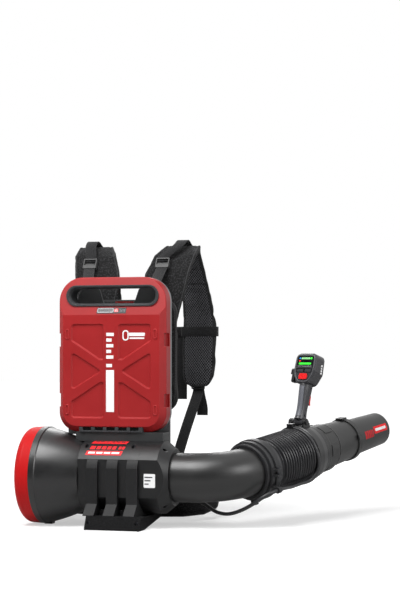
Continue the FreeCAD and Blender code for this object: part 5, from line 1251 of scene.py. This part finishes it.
@dataclass
class Padding:
    """Padded harness pieces, blown up from their solids and dressed in mesh and cloth."""

    voxel: float = 0.0045
    pressure: float = 4.0
    stretch_stiffness: float = 25.0
    bend_stiffness: float = 4.0
    shrink: float = 0.0035
    cap: float = 0.005
    frames: int = 20
    widest: float = 1.35
    bound: float = 0.0055
    bound_lift: float = 0.0008
    sewn_at: float = 0.0072
    sewn_depth: float = 0.0012
    back_corner: float = 0.034
    back_depth: float = 0.008
    strap_rows: tuple = (
        (100.4, 424, 34, 106), (100.4, 462, 34, 116), (105, 502, 29, 126), (116, 540, 30, 132),
        (136, 582, 46, 140), (170, 603, 61, 141), (214, 592, 72, 129), (246, 556, 74, 129),
        (260, 500, 74, 139), (263, 432, 74, 151), (261, 350, 74, 149), (258.5, 312, 75, 144),
        (257, 296, 80, 137), (256, 286, 91, 127))
    strap_half: float = 7.0
    belt_rows: tuple = (
        (0, 91.3, 12, 112), (70, 91.3, 12, 112), (122, 108, 12, 112), (156, 150, 14, 108),
        (165, 202, 22, 98), (158, 250, 34, 84))
    strap_seams: tuple = ((0.335, 0.0035, 0.003), (0.4, 0.0018, 0.016), (0.155, 0.0012, 0.022))

    def blank(self, node: str, name: str) -> bpy.types.Object:
        """Even-meshed copy of a solid, a little smaller than it.

        Args:
            node: Solid that is copied.
            name: Name of the piece.

        Returns:
            The piece, before it swells.
        """
        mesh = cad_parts[node].data.copy()
        mesh.name = name
        piece = stand(name, mesh)
        mesh.materials.clear()
        shape = bmesh.new()
        shape.from_mesh(mesh)
        bmesh.ops.remove_doubles(shape, verts=shape.verts, dist=1e-6)
        shape.to_mesh(mesh)
        shape.free()
        mesh.remesh_voxel_size = self.voxel
        Bench.take(piece)
        bpy.ops.object.voxel_remesh()
        Bench.apply(piece, "SMOOTH", iterations=4, factor=0.5)
        Bench.apply(piece, "DISPLACE", strength=-self.shrink, mid_level=0.0)
        return piece

    def swell(self, piece: bpy.types.Object) -> None:
        """Blows an even-meshed piece up as cloth and keeps the result."""
        scene = bpy.context.scene
        rest = np.array([v.co for v in piece.data.vertices])
        modifier = piece.modifiers.new("Swell", "CLOTH")
        cloth = modifier.settings
        cloth.use_pressure = True
        cloth.uniform_pressure_force = self.pressure
        cloth.effector_weights.gravity = 0.0
        cloth.tension_stiffness = cloth.compression_stiffness = self.stretch_stiffness
        cloth.bending_stiffness = self.bend_stiffness
        modifier.point_cache.frame_start = 1
        modifier.point_cache.frame_end = self.frames
        for number in range(1, self.frames + 1):
            scene.frame_set(number)
        Bench.take(piece)
        bpy.ops.object.modifier_apply(modifier=modifier.name)
        scene.frame_set(1)
        moved = np.array([v.co for v in piece.data.vertices]) - rest
        reach = np.linalg.norm(moved, axis=1)
        moved *= np.minimum(1.0, self.cap / np.maximum(reach, 1e-9))[:, None]
        piece.data.vertices.foreach_set("co", (rest + moved).astype(np.float32).ravel())
        piece.data.update()

    def trim(self, piece: bpy.types.Object, path: PadPath) -> None:
        """Brings each cross-section of a swollen piece back to the width of its pattern.

        Args:
            piece: The swollen piece.
            path: Its pattern.
        """
        points = np.array([v.co for v in piece.data.vertices])
        found = path.locate(points)
        stations = np.linspace(found["along"].min() + 0.004, found["along"].max() - 0.004, 80)
        near = np.abs(found["along"][None, :] - stations[:, None]) < self.voxel * 1.3
        move = np.zeros(len(points))
        for hand in (1, -1):
            reach = np.where(near, hand * found["across"][None, :], -1.0).max(axis=1)
            half = np.array([found["half"][row].mean() for row in near])
            ratio = np.pad(half / np.maximum(reach, 0.004), 2, mode="edge")
            ratio = np.convolve(ratio, np.ones(5) / 5, mode="valid")
            share = np.interp(found["along"], stations, np.clip(ratio, 1.0, self.widest))
            move = np.where(hand * found["across"] > 0, found["across"] * (share - 1), move)
        points[:, path.wide] += move
        piece.data.vertices.foreach_set("co", points.astype(np.float32).ravel())
        piece.data.update()

    def cover(self, piece: bpy.types.Object, places: Callable[[np.ndarray], dict],
              seams: Sequence[tuple[float, float, float]] = ()) -> None:
        """Subdivides a piece, sews its edge and seams in, and maps its cover.

        Args:
            piece: The swollen piece.
            places: Function from points to their places on the cover.
            seams: Length along, depth and half width of each sewn or pressed line.
        """
        Bench.take(piece)
        Bench.apply(piece, "SUBSURF", levels=1, render_levels=1)
        mesh = piece.data
        points = np.array([v.co for v in mesh.vertices])
        normals = np.array([v.normal for v in mesh.vertices])
        found = places(points)
        room = found["room"]
        lift = self.bound_lift * np.clip((self.bound - room) / 0.0012, 0, 1)
        lift -= self.sewn_depth * np.exp(-((room - self.sewn_at) / 0.0016) ** 2)
        for value, depth, half in seams:
            lift -= depth * np.exp(-((found["along"] - value) / half) ** 4) * np.clip(room / 0.006, 0, 1)
        points += normals * lift[:, None]
        mesh.vertices.foreach_set("co", points.astype(np.float32).ravel())
        outer = np.clip(0.5 + found["side"] / 0.006, 0, 1)
        for name, values in (("room", room), ("outer", outer)):
            layer = mesh.attributes.new(name, "FLOAT", "POINT")
            layer.data.foreach_set("value", values.astype(np.float32))
        corners = np.zeros(len(mesh.loops), np.int32)
        mesh.loops.foreach_get("vertex_index", corners)
        uv = np.stack([found["along"][corners], found["across"][corners]], axis=1)
        mesh.uv_layers.new(name="cloth").data.foreach_set("uv", uv.astype(np.float32).ravel())
        mesh.update()

    def finish(self, piece: bpy.types.Object, node: str, finish: object, slot: str, fill: float) -> None:
        """Args:
            piece: The piece.
            node: Solid that it stands for.
            finish: Its cover.
            slot: Material slot of the record; not used.
            fill: How full it is; not used.
        """
        settle(piece, Body.PACK, finish, crease=180.0)
        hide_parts(node)

    def straps(self) -> None:
        """Both shoulder straps, the left one a mirrored copy of the right one."""
        rows = [(y + self.strap_half, z, low, high) for y, z, low, high in self.strap_rows]
        path = PadPath.smooth(rows, (1, 2), 0, 1.0)
        strap = self.blank("shoulder_strap_right", "shoulder_pad_right")
        self.swell(strap)
        self.trim(strap, path)
        self.cover(strap, path.locate, self.strap_seams)
        other = strap.copy()
        other.data = strap.data.copy()
        other.name = other.data.name = "shoulder_pad_left"
        bpy.context.scene.collection.objects.link(other)
        other.data.transform(Matrix.Scale(-1, 4, (1, 0, 0)))
        other.data.flip_normals()
        self.finish(strap, "shoulder_strap_right", Palette.PAD, "pad_fabric", 0.6)
        self.finish(other, "shoulder_strap_left", Palette.PAD, "pad_fabric", 0.6)

    def belt(self) -> None:
        """Hip belt round the back and both hips."""
        left = [(-x, y, low, high) for x, y, low, high in reversed(self.belt_rows[1:])]
        rows = left + list(self.belt_rows)
        path = PadPath.smooth(rows, (0, 1), 2, -1.0)
        belt = self.blank("hip_belt", "hip_cushion")
        self.swell(belt)
        self.trim(belt, path)
        self.cover(belt, path.locate)
        self.finish(belt, "hip_belt", Palette.BELT, "belt_fabric", 0.55)

    def back(self) -> None:
        """Back pad, with its edge sewn in."""
        low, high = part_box("back_pad")
        corner = self.back_corner

        def places(points: np.ndarray) -> dict[str, np.ndarray]:
            """Places on the flat back pad."""
            over_x = np.abs(points[:, 0]) - ((high.x - low.x) / 2 - corner)
            over_z = np.abs(points[:, 2] - (low.z + high.z) / 2) - ((high.z - low.z) / 2 - corner)
            outside = np.hypot(np.maximum(over_x, 0), np.maximum(over_z, 0))
            room = corner - outside - np.minimum(0, np.maximum(over_x, over_z))
            return {"along": points[:, 2], "across": points[:, 0], "room": room,
                    "side": low.y + self.back_depth - points[:, 1]}

        pad = self.blank("back_pad", "back_cushion")
        self.swell(pad)
        points = np.array([v.co for v in pad.data.vertices])
        for axis in (0, 2):
            middle = (low[axis] + high[axis]) / 2
            wider = (high[axis] - low[axis]) / np.ptp(points[:, axis])
            points[:, axis] = middle + (points[:, axis] - middle) * wider
        pad.data.vertices.foreach_set("co", points.astype(np.float32).ravel())
        self.cover(pad, places)
        self.finish(pad, "back_pad", Palette.PAD, "pad_fabric", 0.6)

    def build(self) -> None:
        """Makes all padded pieces."""
        self.straps()
        self.belt()
        self.back()


@dataclass(frozen=True)
class StrapRun:
    """Run of a strap out of a ladder lock, in millimetres.

    Its places in the lock are depth and rise in it, and its free places are depth and height of the
    object. The slant is how far each place has come from the lock's side to the far end's, by height
    where it is empty.
    """

    name: str
    top: bool
    far_x: float
    threaded: tuple
    free: tuple
    slant: tuple = ()


@dataclass
class Webbing:
    """Flat straps of the harness."""

    width: float = 25.0
    chest_width: float = 22.0
    waist_width: float = 38.0
    thickness: float = 1.8
    border: float = 0.7
    right_x: float = 71.0
    left_x: float = 97.0
    lower_lock_x: float = 108.0
    lock_teeth: int = 7
    upper_slope: tuple[float, float] = (21.4, 44.6)
    upper_place: tuple[float, float] = (120.6, 551.0)
    upper_depth: float = 4.3
    lower_slope: tuple[float, float] = (1.5, 16.0)
    lower_place: tuple[float, float] = (271.6, 296.0)
    lower_drop: float = 11.0
    runs: tuple = (
        StrapRun("lifter_strap_", True, 105.0, ((2, 16.5), (-1.6, 18.2), (-1.6, 28)),
                 ((142, 604), (158, 616), (172, 617), (190, 607.9), (206, 604)),
                 (0, 0, 0, 0.9, 1, 1, 1, 1)),
        StrapRun("anchor_strap_", True, 72.0, ((2, 7.5), (-1.6, 5.8), (-1.6, 1)),
                 ((70, 524), (37.2, 501), (37.2, 475)), (0, 0, 0, 0.5, 1, 1)),
        StrapRun("lower_strap_", False, 101.0, ((2, 7.5), (4.6, 6.6), (5.8, 3.6), (5.8, -4)),
                 ((266, 269), (250, 255), (200, 211), (150, 162), (107, 113))),
        StrapRun("strap_tail_", False, 117.0, ((1.6, 17), (8.6, 14.5), (8.6, -3)),
                 ((279, 245), (277, 226)), (0, 0, 0, 1, 1)))
    chest_y: float = 278.2
    band_y: float = 260.9
    chest_z: float = 416.0
    waist_z: float = 61.0
    waist: tuple = ((157.6, 251.4), (120, 290), (70, 308), (36, 311), (20, 311))
    hanging_x: float = 67.0
    hanging: tuple = ((2.1, 424), (2.1, 405), (3.1, 330), (2.1, 262))

    def lock(self, top: bool, depth: float, rise: float) -> tuple[float, float]:
        """Depth and height of a point in a ladder lock.

        Args:
            top: Whether it is an upper lock.
            depth: Distance into the lock from its rear face.
            rise: Distance up the lock.

        Returns:
            Depth and height in the object's frame.
        """
        if top:
            slope = Vector(self.upper_slope).normalized()
            face = Vector(self.upper_place) - Vector((slope.y, -slope.x)) * self.upper_depth
        else:
            slope = Vector(self.lower_slope).normalized()
            face = Vector(self.lower_place) - slope * self.lower_drop
        point = face + Vector((slope.y, -slope.x)) * depth + slope * rise
        return point.x, point.y

    def lock_cover(self, name: str, x: float) -> None:
        """Front bar, rails and teeth of an upper ladder lock, over the webbing.

        Args:
            name: Which strap it is on.
            x: Place of the lock's middle in millimetres.
        """
        slope = Vector((0, *self.upper_slope)).normalized()
        axes = Axes(mm(x, *self.lock(True, 0, 0)), Vector((1, 0, 0)), slope)
        parts = [("bar", (30.6, 2.0, 8.0), (0, -3.9, 4.0), 1.6),
                 ("top", (30.6, 1.8, 3.0), (0, -3.7, 22.6), 1.0)]
        parts += [("rail_%d" % side, (2.4, 4.6, 23.5), (14.0 * side, -2.5, 12.0), 0.8)
                  for side in (1, -1)]
        parts += [("tooth_%d" % i, (1.5, 1.6, 3.4), (-9.6 + 3.2 * i, -3.3, 9.4), 0.4)
                  for i in range(self.lock_teeth)]
        plates([("lock_%s_%s" % (label, name), size, centre, corner, Palette.BUCKLE)
                for label, size, centre, corner in parts], Body.PACK, axes, rim=0.3)

    def band(self, name: str, points: Sequence[Sequence[float]], wide: Vector, width: float,
             finish: Woven) -> bpy.types.Object:
        """Flat strap along a path.

        Args:
            name: Name of the piece.
            points: Path in millimetres.
            wide: Direction of its width.
            width: Its width in millimetres.
            finish: Its webbing.

        Returns:
            The piece.
        """
        path = self.soften([Vector(p) for p in points])
        half = width / 2
        flat = half - self.border
        t = self.thickness / 2
        section = [(-half, -0.4 * t), (-half, 0.4 * t), (-flat, t), (0, 0.9 * t), (flat, t),
                   (half, 0.4 * t), (half, -0.4 * t), (flat, -t), (0, -0.9 * t), (-flat, -t)]
        shape = bmesh.new()
        layer = shape.loops.layers.uv.new("cloth")
        rings = []
        length = 0.0
        lengths = []
        for i, point in enumerate(path):
            run = path[min(i + 1, len(path) - 1)] - path[max(i - 1, 0)]
            off = (run - wide * run.dot(wide)).normalized().cross(wide)
            rings.append([shape.verts.new((point + wide * u + off * v) * MM) for u, v in section])
            length += (point - path[i - 1]).length if i else 0.0
            lengths.append(length)
        count = len(section)
        for i in range(len(rings) - 1):
            for j in range(count):
                corners = [(i, j), (i, (j + 1) % count), (i + 1, (j + 1) % count), (i + 1, j)]
                face = shape.faces.new([rings[a][b] for a, b in corners])
                for loop, (a, b) in zip(face.loops, corners):
                    loop[layer].uv = (lengths[a] * MM, section[b][0] * MM)
        for ring in (rings[0], rings[-1]):
            shape.faces.new(ring)
        bmesh.ops.recalc_face_normals(shape, faces=shape.faces)
        mesh = bpy.data.meshes.new(name)
        shape.to_mesh(mesh)
        shape.free()
        return settle(stand(name, mesh), Body.PACK, finish, crease=60.0)

    @staticmethod
    def soften(points: list[Vector]) -> list[Vector]:
        """Path with its corners cut twice, as cloth bends."""
        for _ in range(2):
            cut = [points[0]]
            for a, b in zip(points, points[1:]):
                cut += [a.lerp(b, 0.25), a.lerp(b, 0.75)]
            points = cut + [points[-1]]
        return points

    def build(self) -> None:
        """Makes every strap of the harness."""
        across = Vector((1, 0, 0))
        up = Vector((0, 0, 1))
        chest = [(20, self.chest_y), (100, self.chest_y), (151, self.chest_y),
                 (155.4, self.chest_y - 2), (155.4, self.band_y + 2), (151, self.band_y),
                 (76, self.band_y), (70.6, self.band_y + 2), (70.4, self.chest_y - 5)]
        first = None
        for name, hand, upper_x in (("right", 1, self.right_x), ("left", -1, self.left_x)):
            for run in self.runs:
                line = [self.lock(run.top, *place) for place in run.threaded] + list(run.free)
                top, bottom = line[0][1], line[-1][1]
                slant = run.slant or [(top - z) / (top - bottom) for _, z in line]
                x = upper_x if run.top else self.lower_lock_x
                places = [(hand * (x + share * (run.far_x - x)), y, z)
                          for share, (y, z) in zip(slant, line)]
                piece = self.band(run.name + name, places, across, self.width, Palette.WEBBING)
                first = first or piece
            self.band("chest_strap_" + name, [(hand * x, y, self.chest_z) for x, y in chest], up,
                      self.chest_width, Palette.CHEST_WEBBING)
            self.band("waist_strap_" + name, [(hand * x, y, self.waist_z) for x, y in self.waist], up,
                      self.waist_width, Palette.WAIST_WEBBING)
            self.lock_cover(name, hand * upper_x)
        hanging = [(self.hanging_x, self.chest_y + behind, z) for behind, z in self.hanging]
        self.band("chest_tail", hanging, across, self.width, Palette.WEBBING)
        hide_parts("harness_webbing")


@dataclass
class Battery:
    """Trim of the battery: gauge window, plain prints and near-black plates painted as shade in the slots."""

    facet: Axes = Axes(mm(0, -17, 457.5), Vector((1, 0, 0)), Vector((0, 10, 17)))
    gauge_x: float = -13.2
    gauge_marks: int = 8
    bar_x: float = -26.4
    bar_pitch: float = 3.78
    dot_x: float = 20.4
    dot_z: float = 1.6
    dot_pitch: float = 2.9
    column_x: float = -1.6
    column_width: float = 17.0
    column: tuple = ((17.0, 407), (12.0, 395), (16.0, 383), (11.0, 371), (16.0, 359), (13.0, 341))
    middle_y: float = -22.0
    panel_y: float = -19.1
    slots: int = 5
    slot_x: float = -53.5
    slot_y: float = -19.25
    slot_z: float = 206.4
    slot_pitch: float = 26.5

    def gauge(self) -> None:
        """Light frame and dark grid of the charge window."""
        rim = Bench.framed("gauge_frame", (37, 1.0, 11.4), (self.gauge_x, -0.8, 0), 3.4, 1.6)
        settle(rim, Body.BATTERY, Palette.GREY_TRIM, self.facet)
        parts = [("gauge_glass", (32.2, 0.5, 7.6), (self.gauge_x, -0.1, 0), 1.4, Palette.DARK_WINDOW)]
        parts += [("gauge_bar_%d" % i, (2.5, 0.5, 4.6), (self.bar_x + self.bar_pitch * i, -0.45, 0), 0.5,
                   Palette.GREY_PRINT) for i in range(self.gauge_marks)]
        for i in range(self.gauge_marks):
            row, place = divmod(i, self.gauge_marks // 2)
            centre = (self.dot_x + self.dot_pitch * place, -0.2, self.dot_z - 2 * self.dot_z * row)
            parts.append(("gauge_dot_%d" % i, (1.8, 0.5, 1.8), centre, 0.3, Palette.GREY_TRIM))
        plates(parts, Body.BATTERY, self.facet)

    def prints(self) -> None:
        """Plain white bars where the shell is printed."""
        rows = [((17.9, 0.5, 89), (self.column_x, self.middle_y, 287), 0.6)]
        for width, z in self.column:
            x = self.column_x - (self.column_width - width) / 2
            rows.append(((width, 0.5, 7), (x, self.middle_y, z), 0.6))
        rows += [((35, 0.5, 7.2), (57.4, self.panel_y, 407), 0.8),
                 ((33, 0.5, 3.2), (57.4, self.panel_y, 399), 0.6)]
        plates([("shell_print_%d" % i, *row, Palette.WHITE_PRINT) for i, row in enumerate(rows)],
               Body.BATTERY, rim=0.08)
        oval = Bench.framed("shell_print_oval", (14, 0.5, 22), (32.2, self.panel_y, 405), 6.4, 2.6)
        settle(oval, Body.BATTERY, Palette.WHITE_PRINT)

    def guard(self) -> None:
        """Near-black plates on the floors of the guard's slots: painted shade."""
        places = [(self.slot_x + self.slot_pitch * i, self.slot_y, self.slot_z)
                  for i in range(self.slots)]
        plates([("guard_slot_%d" % i, (18.4, 0.4, 6.6), place, 0.8, Palette.SHADE)
                for i, place in enumerate(places)], Body.BATTERY)

    def build(self) -> None:
        """Makes the gauge trim, the prints and the painted shade in the slots."""
        self.gauge()
        self.prints()
        self.guard()


@dataclass
class HousingPrints:
    """Plain coloured marks on the fan housing, the outlet and the nozzle."""

    flat_y: float = -66.0
    label_lines: int = 3
    housing_r: float = 77.0
    housing_lean: float = 0.2
    lean_from: float = 60.0
    bars: tuple = ((-36, -25), (-22, -13), (-10, -1), (2, 10), (13, 21))
    squares: tuple = ((27, 32.5), (34.5, 40))
    lines: tuple = ((-35, -20), (-17, -3), (0, 14), (17, 34))
    dashes: int = 6
    dash_pitch: float = 11.5
    thickness: float = 0.0004
    nozzle_s: tuple[float, float] = (354.0, 476.0)
    nozzle_r: tuple[float, float] = (42.0, 37.8)
    nozzle_bars: tuple = ((374, 380.5), (382.5, 388), (390, 395.5), (397.5, 402), (404, 408))
    proud: float = 0.25
    second_proud: float = 0.5

    def build(self) -> None:
        """Makes the label, then the marks on the housing and the nozzle."""
        y = self.flat_y + 0.05
        parts = [("outlet_label", (25, 0.5, 29), (100, y, 101.5), 2.0, Palette.WHITE_PRINT)]
        parts += [("label_line_%d" % i, (17 - 4 * i, 0.4, 2.4), (98 - 2 * i, y - 0.35, 109 - 7 * i), 0.4,
                   Palette.GREY_PRINT) for i in range(self.label_lines)]
        plates(parts, Body.PACK, rim=0.08)
        self.housing()
        self.nozzle()

    def on_housing(self, u: float, v: float, proud: float) -> Vector:
        """Place on the housing, in metres.

        Args:
            u: Station along the fan axis.
            v: Degrees up from the housing's front.
            proud: Distance above its surface.

        Returns:
            The place in the object's frame.
        """
        turn = math.radians(v)
        out = self.housing_r + proud
        lean = self.housing_lean * (v - self.lean_from)
        return mm(u + lean, -out * math.cos(turn), LAYOUT.fan_z + out * math.sin(turn))

    def on_nozzle(self, u: float, v: float, proud: float) -> Vector:
        """Place on the nozzle, in metres.

        Args:
            u: Station along the air tube.
            v: Degrees up from the nozzle's right.
            proud: Distance above its surface.

        Returns:
            The place in the object's frame.
        """
        (s0, s1), (r0, r1) = self.nozzle_s, self.nozzle_r
        return LAYOUT.tube_point(u, v, r0 + (r1 - r0) * (u - s0) / (s1 - s0) + proud)

    def housing(self) -> None:
        """Marks bent round the upper front of the fan housing."""
        marks = [("housing_mark_top", (-41, 37), (66, 80), Palette.RED_PRINT),
                 ("housing_mark_bottom", (-40, 40), (38.5, 47.5), Palette.RED_PRINT)]
        dashes = [(-35 + self.dash_pitch * i, -27 + self.dash_pitch * i) for i in range(self.dashes)]
        rows = [("housing_mark_", self.bars, (50.5, 58.5), Palette.RED_PRINT),
                ("housing_square_", self.squares, (51, 58), Palette.RED_PRINT),
                ("housing_line_", self.lines, (41.2, 44.8), Palette.WHITE_PRINT),
                ("housing_dash_", dashes, (71.5, 74.5), Palette.BLACK)]
        for label, spans, angles, finish in rows:
            marks += [(label + str(i), span, angles, finish) for i, span in enumerate(spans)]
        for mark in marks:
            self.wrap(*mark, self.on_housing, Body.PACK, "black_plastic")

    def nozzle(self) -> None:
        """Marks bent round the nozzle."""
        marks = [("nozzle_mark_block", (412, 466), (2.5, 26.5), Palette.RED_PRINT),
                 ("nozzle_mark_line", (417, 461), (10, 19), Palette.WHITE_PRINT)]
        marks += [("nozzle_mark_%d" % i, span, (-5, 20), Palette.DARK_RED_PRINT)
                  for i, span in enumerate(self.nozzle_bars)]
        for mark in marks:
            self.wrap(*mark, self.on_nozzle, Body.NOZZLE, "tube_plastic")

    def wrap(self, name: str, across: tuple[float, float], angles: tuple[float, float], finish: Moulded,
             place: Callable[[float, float, float], Vector], body: Body, slot: str) -> None:
        """Thin mark bent round a shell, prouder where it lies on a red one.

        Args:
            name: Name of the piece.
            across: First and last station.
            angles: Lowest and highest angle in degrees.
            finish: Its finish.
            place: Function from a station, an angle and a height to the place.
            body: Body that it rides on.
            slot: Material slot of the record; not used.
        """
        proud = self.second_proud if finish in (Palette.WHITE_PRINT, Palette.BLACK) else self.proud
        Bench.clear()
        bpy.ops.mesh.primitive_grid_add(x_subdivisions=10, y_subdivisions=8, size=2)
        piece = Bench.start(name)
        for vertex in piece.data.vertices:
            u = across[0] + (across[1] - across[0]) * (vertex.co.x + 1) / 2
            v = angles[0] + (angles[1] - angles[0]) * (vertex.co.y + 1) / 2
            vertex.co = place(u, v, proud)
        Bench.apply(piece, "SOLIDIFY", thickness=self.thickness)
        Bench.edit(piece)
        Bench.close()
        settle(piece, body, finish)


@dataclass
class HandleFace:
    """Face of the handle: lit marks under the lens, key outlines, side marks and a raised rim whose light grey
    is a painted highlight.
    """

    face_x: float = -17.25
    top_z: float = 147.0
    bars: int = 6
    key_z: float = 114.5
    key_y: float = 10.4
    side_marks: int = 4
    side_mark_z: float = 113.3
    side_mark_pitch: float = 5.7
    corners: tuple = ((-15, 88, 12), (15, 88, 12), (26, 113, 14),
                      (24.6, 150, 9), (-24.6, 150, 9), (-26, 113, 14))
    corner_steps: int = 8
    middle_z: float = 119.0
    rim_line: tuple = ((1.0, -16.9), (1.0, -17.5), (0.985, -17.8),
                       (0.955, -17.8), (0.94, -17.5), (0.94, -16.9))

    def build(self) -> None:
        """Makes the lit marks, the key outlines, the side marks and the rim."""
        first, second, third, last = (self.top_z - drop for drop in (5.2, 11.0, 17.2, 23.2))
        lit = [("dot_blue", (3.6, 3.4), (15.4, first), 1.5, Palette.BLUE_LIGHT),
               ("dot_red", (3.6, 3.4), (15.4, second), 1.5, Palette.RED_LIGHT),
               ("square", (5.0, 4.6), (-15.0, first), 0.8, Palette.GREEN_LIGHT),
               ("bar_long", (33.0, 4.4), (0.6, third), 1.0, Palette.GREEN_LIGHT),
               ("line", (38.0, 1.5), (0.0, last), 0.4, Palette.GREY_TRIM)]
        lit += [("bar_%d" % i, (3.0, 4.0), (10.0 - 3.9 * i, first), 0.6, Palette.PALE_LIGHT)
                for i in range(self.bars)]
        plates([("display_" + name, (0.5, *size), (self.face_x, *place), corner, finish)
                for name, size, place, corner, finish in lit],
               Body.HANDLE, LAYOUT.handle, rim=0.08, thin=0)
        for i, y in enumerate((-self.key_y, self.key_y)):
            place = (self.face_x, y, self.key_z)
            gap = Bench.framed("key_outline_%d" % i, (0.5, 20.2, 9.4), place, 1.6, 0.9, thin=0)
            settle(gap, Body.HANDLE, Palette.SHADE, LAYOUT.handle)
        heights = [self.side_mark_z + self.side_mark_pitch * i for i in range(self.side_marks)]
        plates([("head_mark_%d" % i, (5.0 - i % 2, 0.5, 4.7), (6.5, 1.8 * (z - 110) / 44 - 30.1, z), 0.6,
                 Palette.WHITE_PRINT) for i, z in enumerate(heights)],
               Body.HANDLE, LAYOUT.handle)
        self.rim()

    def outline(self) -> list[Vector]:
        """Outline of the face plate, as points of Y and Z, with its corners rounded."""
        points = []
        for i, (y, z, cut) in enumerate(self.corners):
            here = Vector((y, z))
            before, after = (Vector(self.corners[j % len(self.corners)][:2]) for j in (i - 1, i + 1))
            start, end = (here + (other - here).normalized() * min(cut, (other - here).length * 0.48)
                          for other in (before, after))
            for step in range(self.corner_steps + 1):
                t = step / self.corner_steps
                points.append(start.lerp(here, t).lerp(here.lerp(end, t), t))
        return points

    def rim(self) -> None:
        """Raised rim round the face plate, narrower at its round bottom; its light grey is a painted highlight
        on the plate's rounded edge.
        """
        outline = self.outline()
        middle = self.middle_z
        shape = bmesh.new()
        rings = []
        for share, x in self.rim_line:
            rings.append([shape.verts.new(mm(x, p.x * share, middle + (p.y - middle) * share))
                          for p in outline])
        count = len(outline)
        for a, b in zip(rings, rings[1:] + rings[:1]):
            for j in range(count):
                shape.faces.new((a[j], a[(j + 1) % count], b[(j + 1) % count], b[j]))
        bmesh.ops.recalc_face_normals(shape, faces=shape.faces)
        mesh = bpy.data.meshes.new("face_rim")
        shape.to_mesh(mesh)
        shape.free()
        settle(stand("face_rim", mesh), Body.HANDLE, Palette.RIM_HIGHLIGHT, LAYOUT.handle)


class Finishes:
    """Finishes of the solids that stay in view."""

    NODES = {
        Palette.RED: ("intake_ring",),
        Palette.BLACK: ("intake_bell", "intake_guard", "handle_knob", "cruise_lever", "handle_collar"),
        Palette.HOUSING: ("housing_front", "housing_rear", "outlet_housing"),
        Palette.DUCT: ("fan_duct", "impeller", "stator_vanes"),
        Palette.BASE: ("base_foot",),
        Palette.CRADLE: ("cradle",),
        Palette.ELBOW: ("elbow",),
        Palette.TUBE: ("coupling_ring", "blower_tube", "nozzle"),
        Palette.CLAMP: ("hose_clamp",),
        Palette.FRAME: ("dock", "dock_connector"),
        Palette.REAR_FRAME: ("back_frame",),
        Palette.BATTERY_RED: ("battery_front_shell",),
        Palette.BATTERY_GREY: ("battery_rear_shell",),
        Palette.LINER: ("battery_handle_liner", "battery_guard", "battery_gauge"),
        Palette.GLOSS_RED: ("battery_latch", "gauge_button", "power_button", "trigger"),
        Palette.HANDLE: ("handle_left", "handle_right"),
        Palette.GRIP: ("grip_overmould",),
        Palette.KEY: ("soft_keys",),
        Palette.LENS: ("display_lens",),
        Palette.STEEL: ("housing_screws", "handle_screws", "fan_shaft"),
        Palette.BEARING: ("fan_bearings", "motor_stator", "motor_rotor"),
        Palette.ALUMINIUM: ("motor_can", "controller_box", "battery_cells"),
        Palette.BUCKLE: ("ladder_locks", "harness_buckles"),
    }

    @classmethod
    def build(cls) -> None:
        """Gives each solid in view its finish."""
        for finish, names in cls.NODES.items():
            for name in names:
                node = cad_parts[name]
                if not node.material_slots:
                    node.data.materials.append(None)
                for place in node.material_slots:
                    place.material = Palette.get(finish)
                LOG.info("%s: %s", name, finish.name)


def main() -> None:
    """Builds the studio, the cords and every piece, in order."""
    logging.basicConfig(level=logging.INFO, format="%(message)s")
    Studio().build()
    Cable().build()
    Hose().build()
    Finishes.build()
    Webbing().build()
    Padding().build()
    Battery().build()
    HousingPrints().build()
    HandleFace().build()


if __name__ == "__main__":
    main()
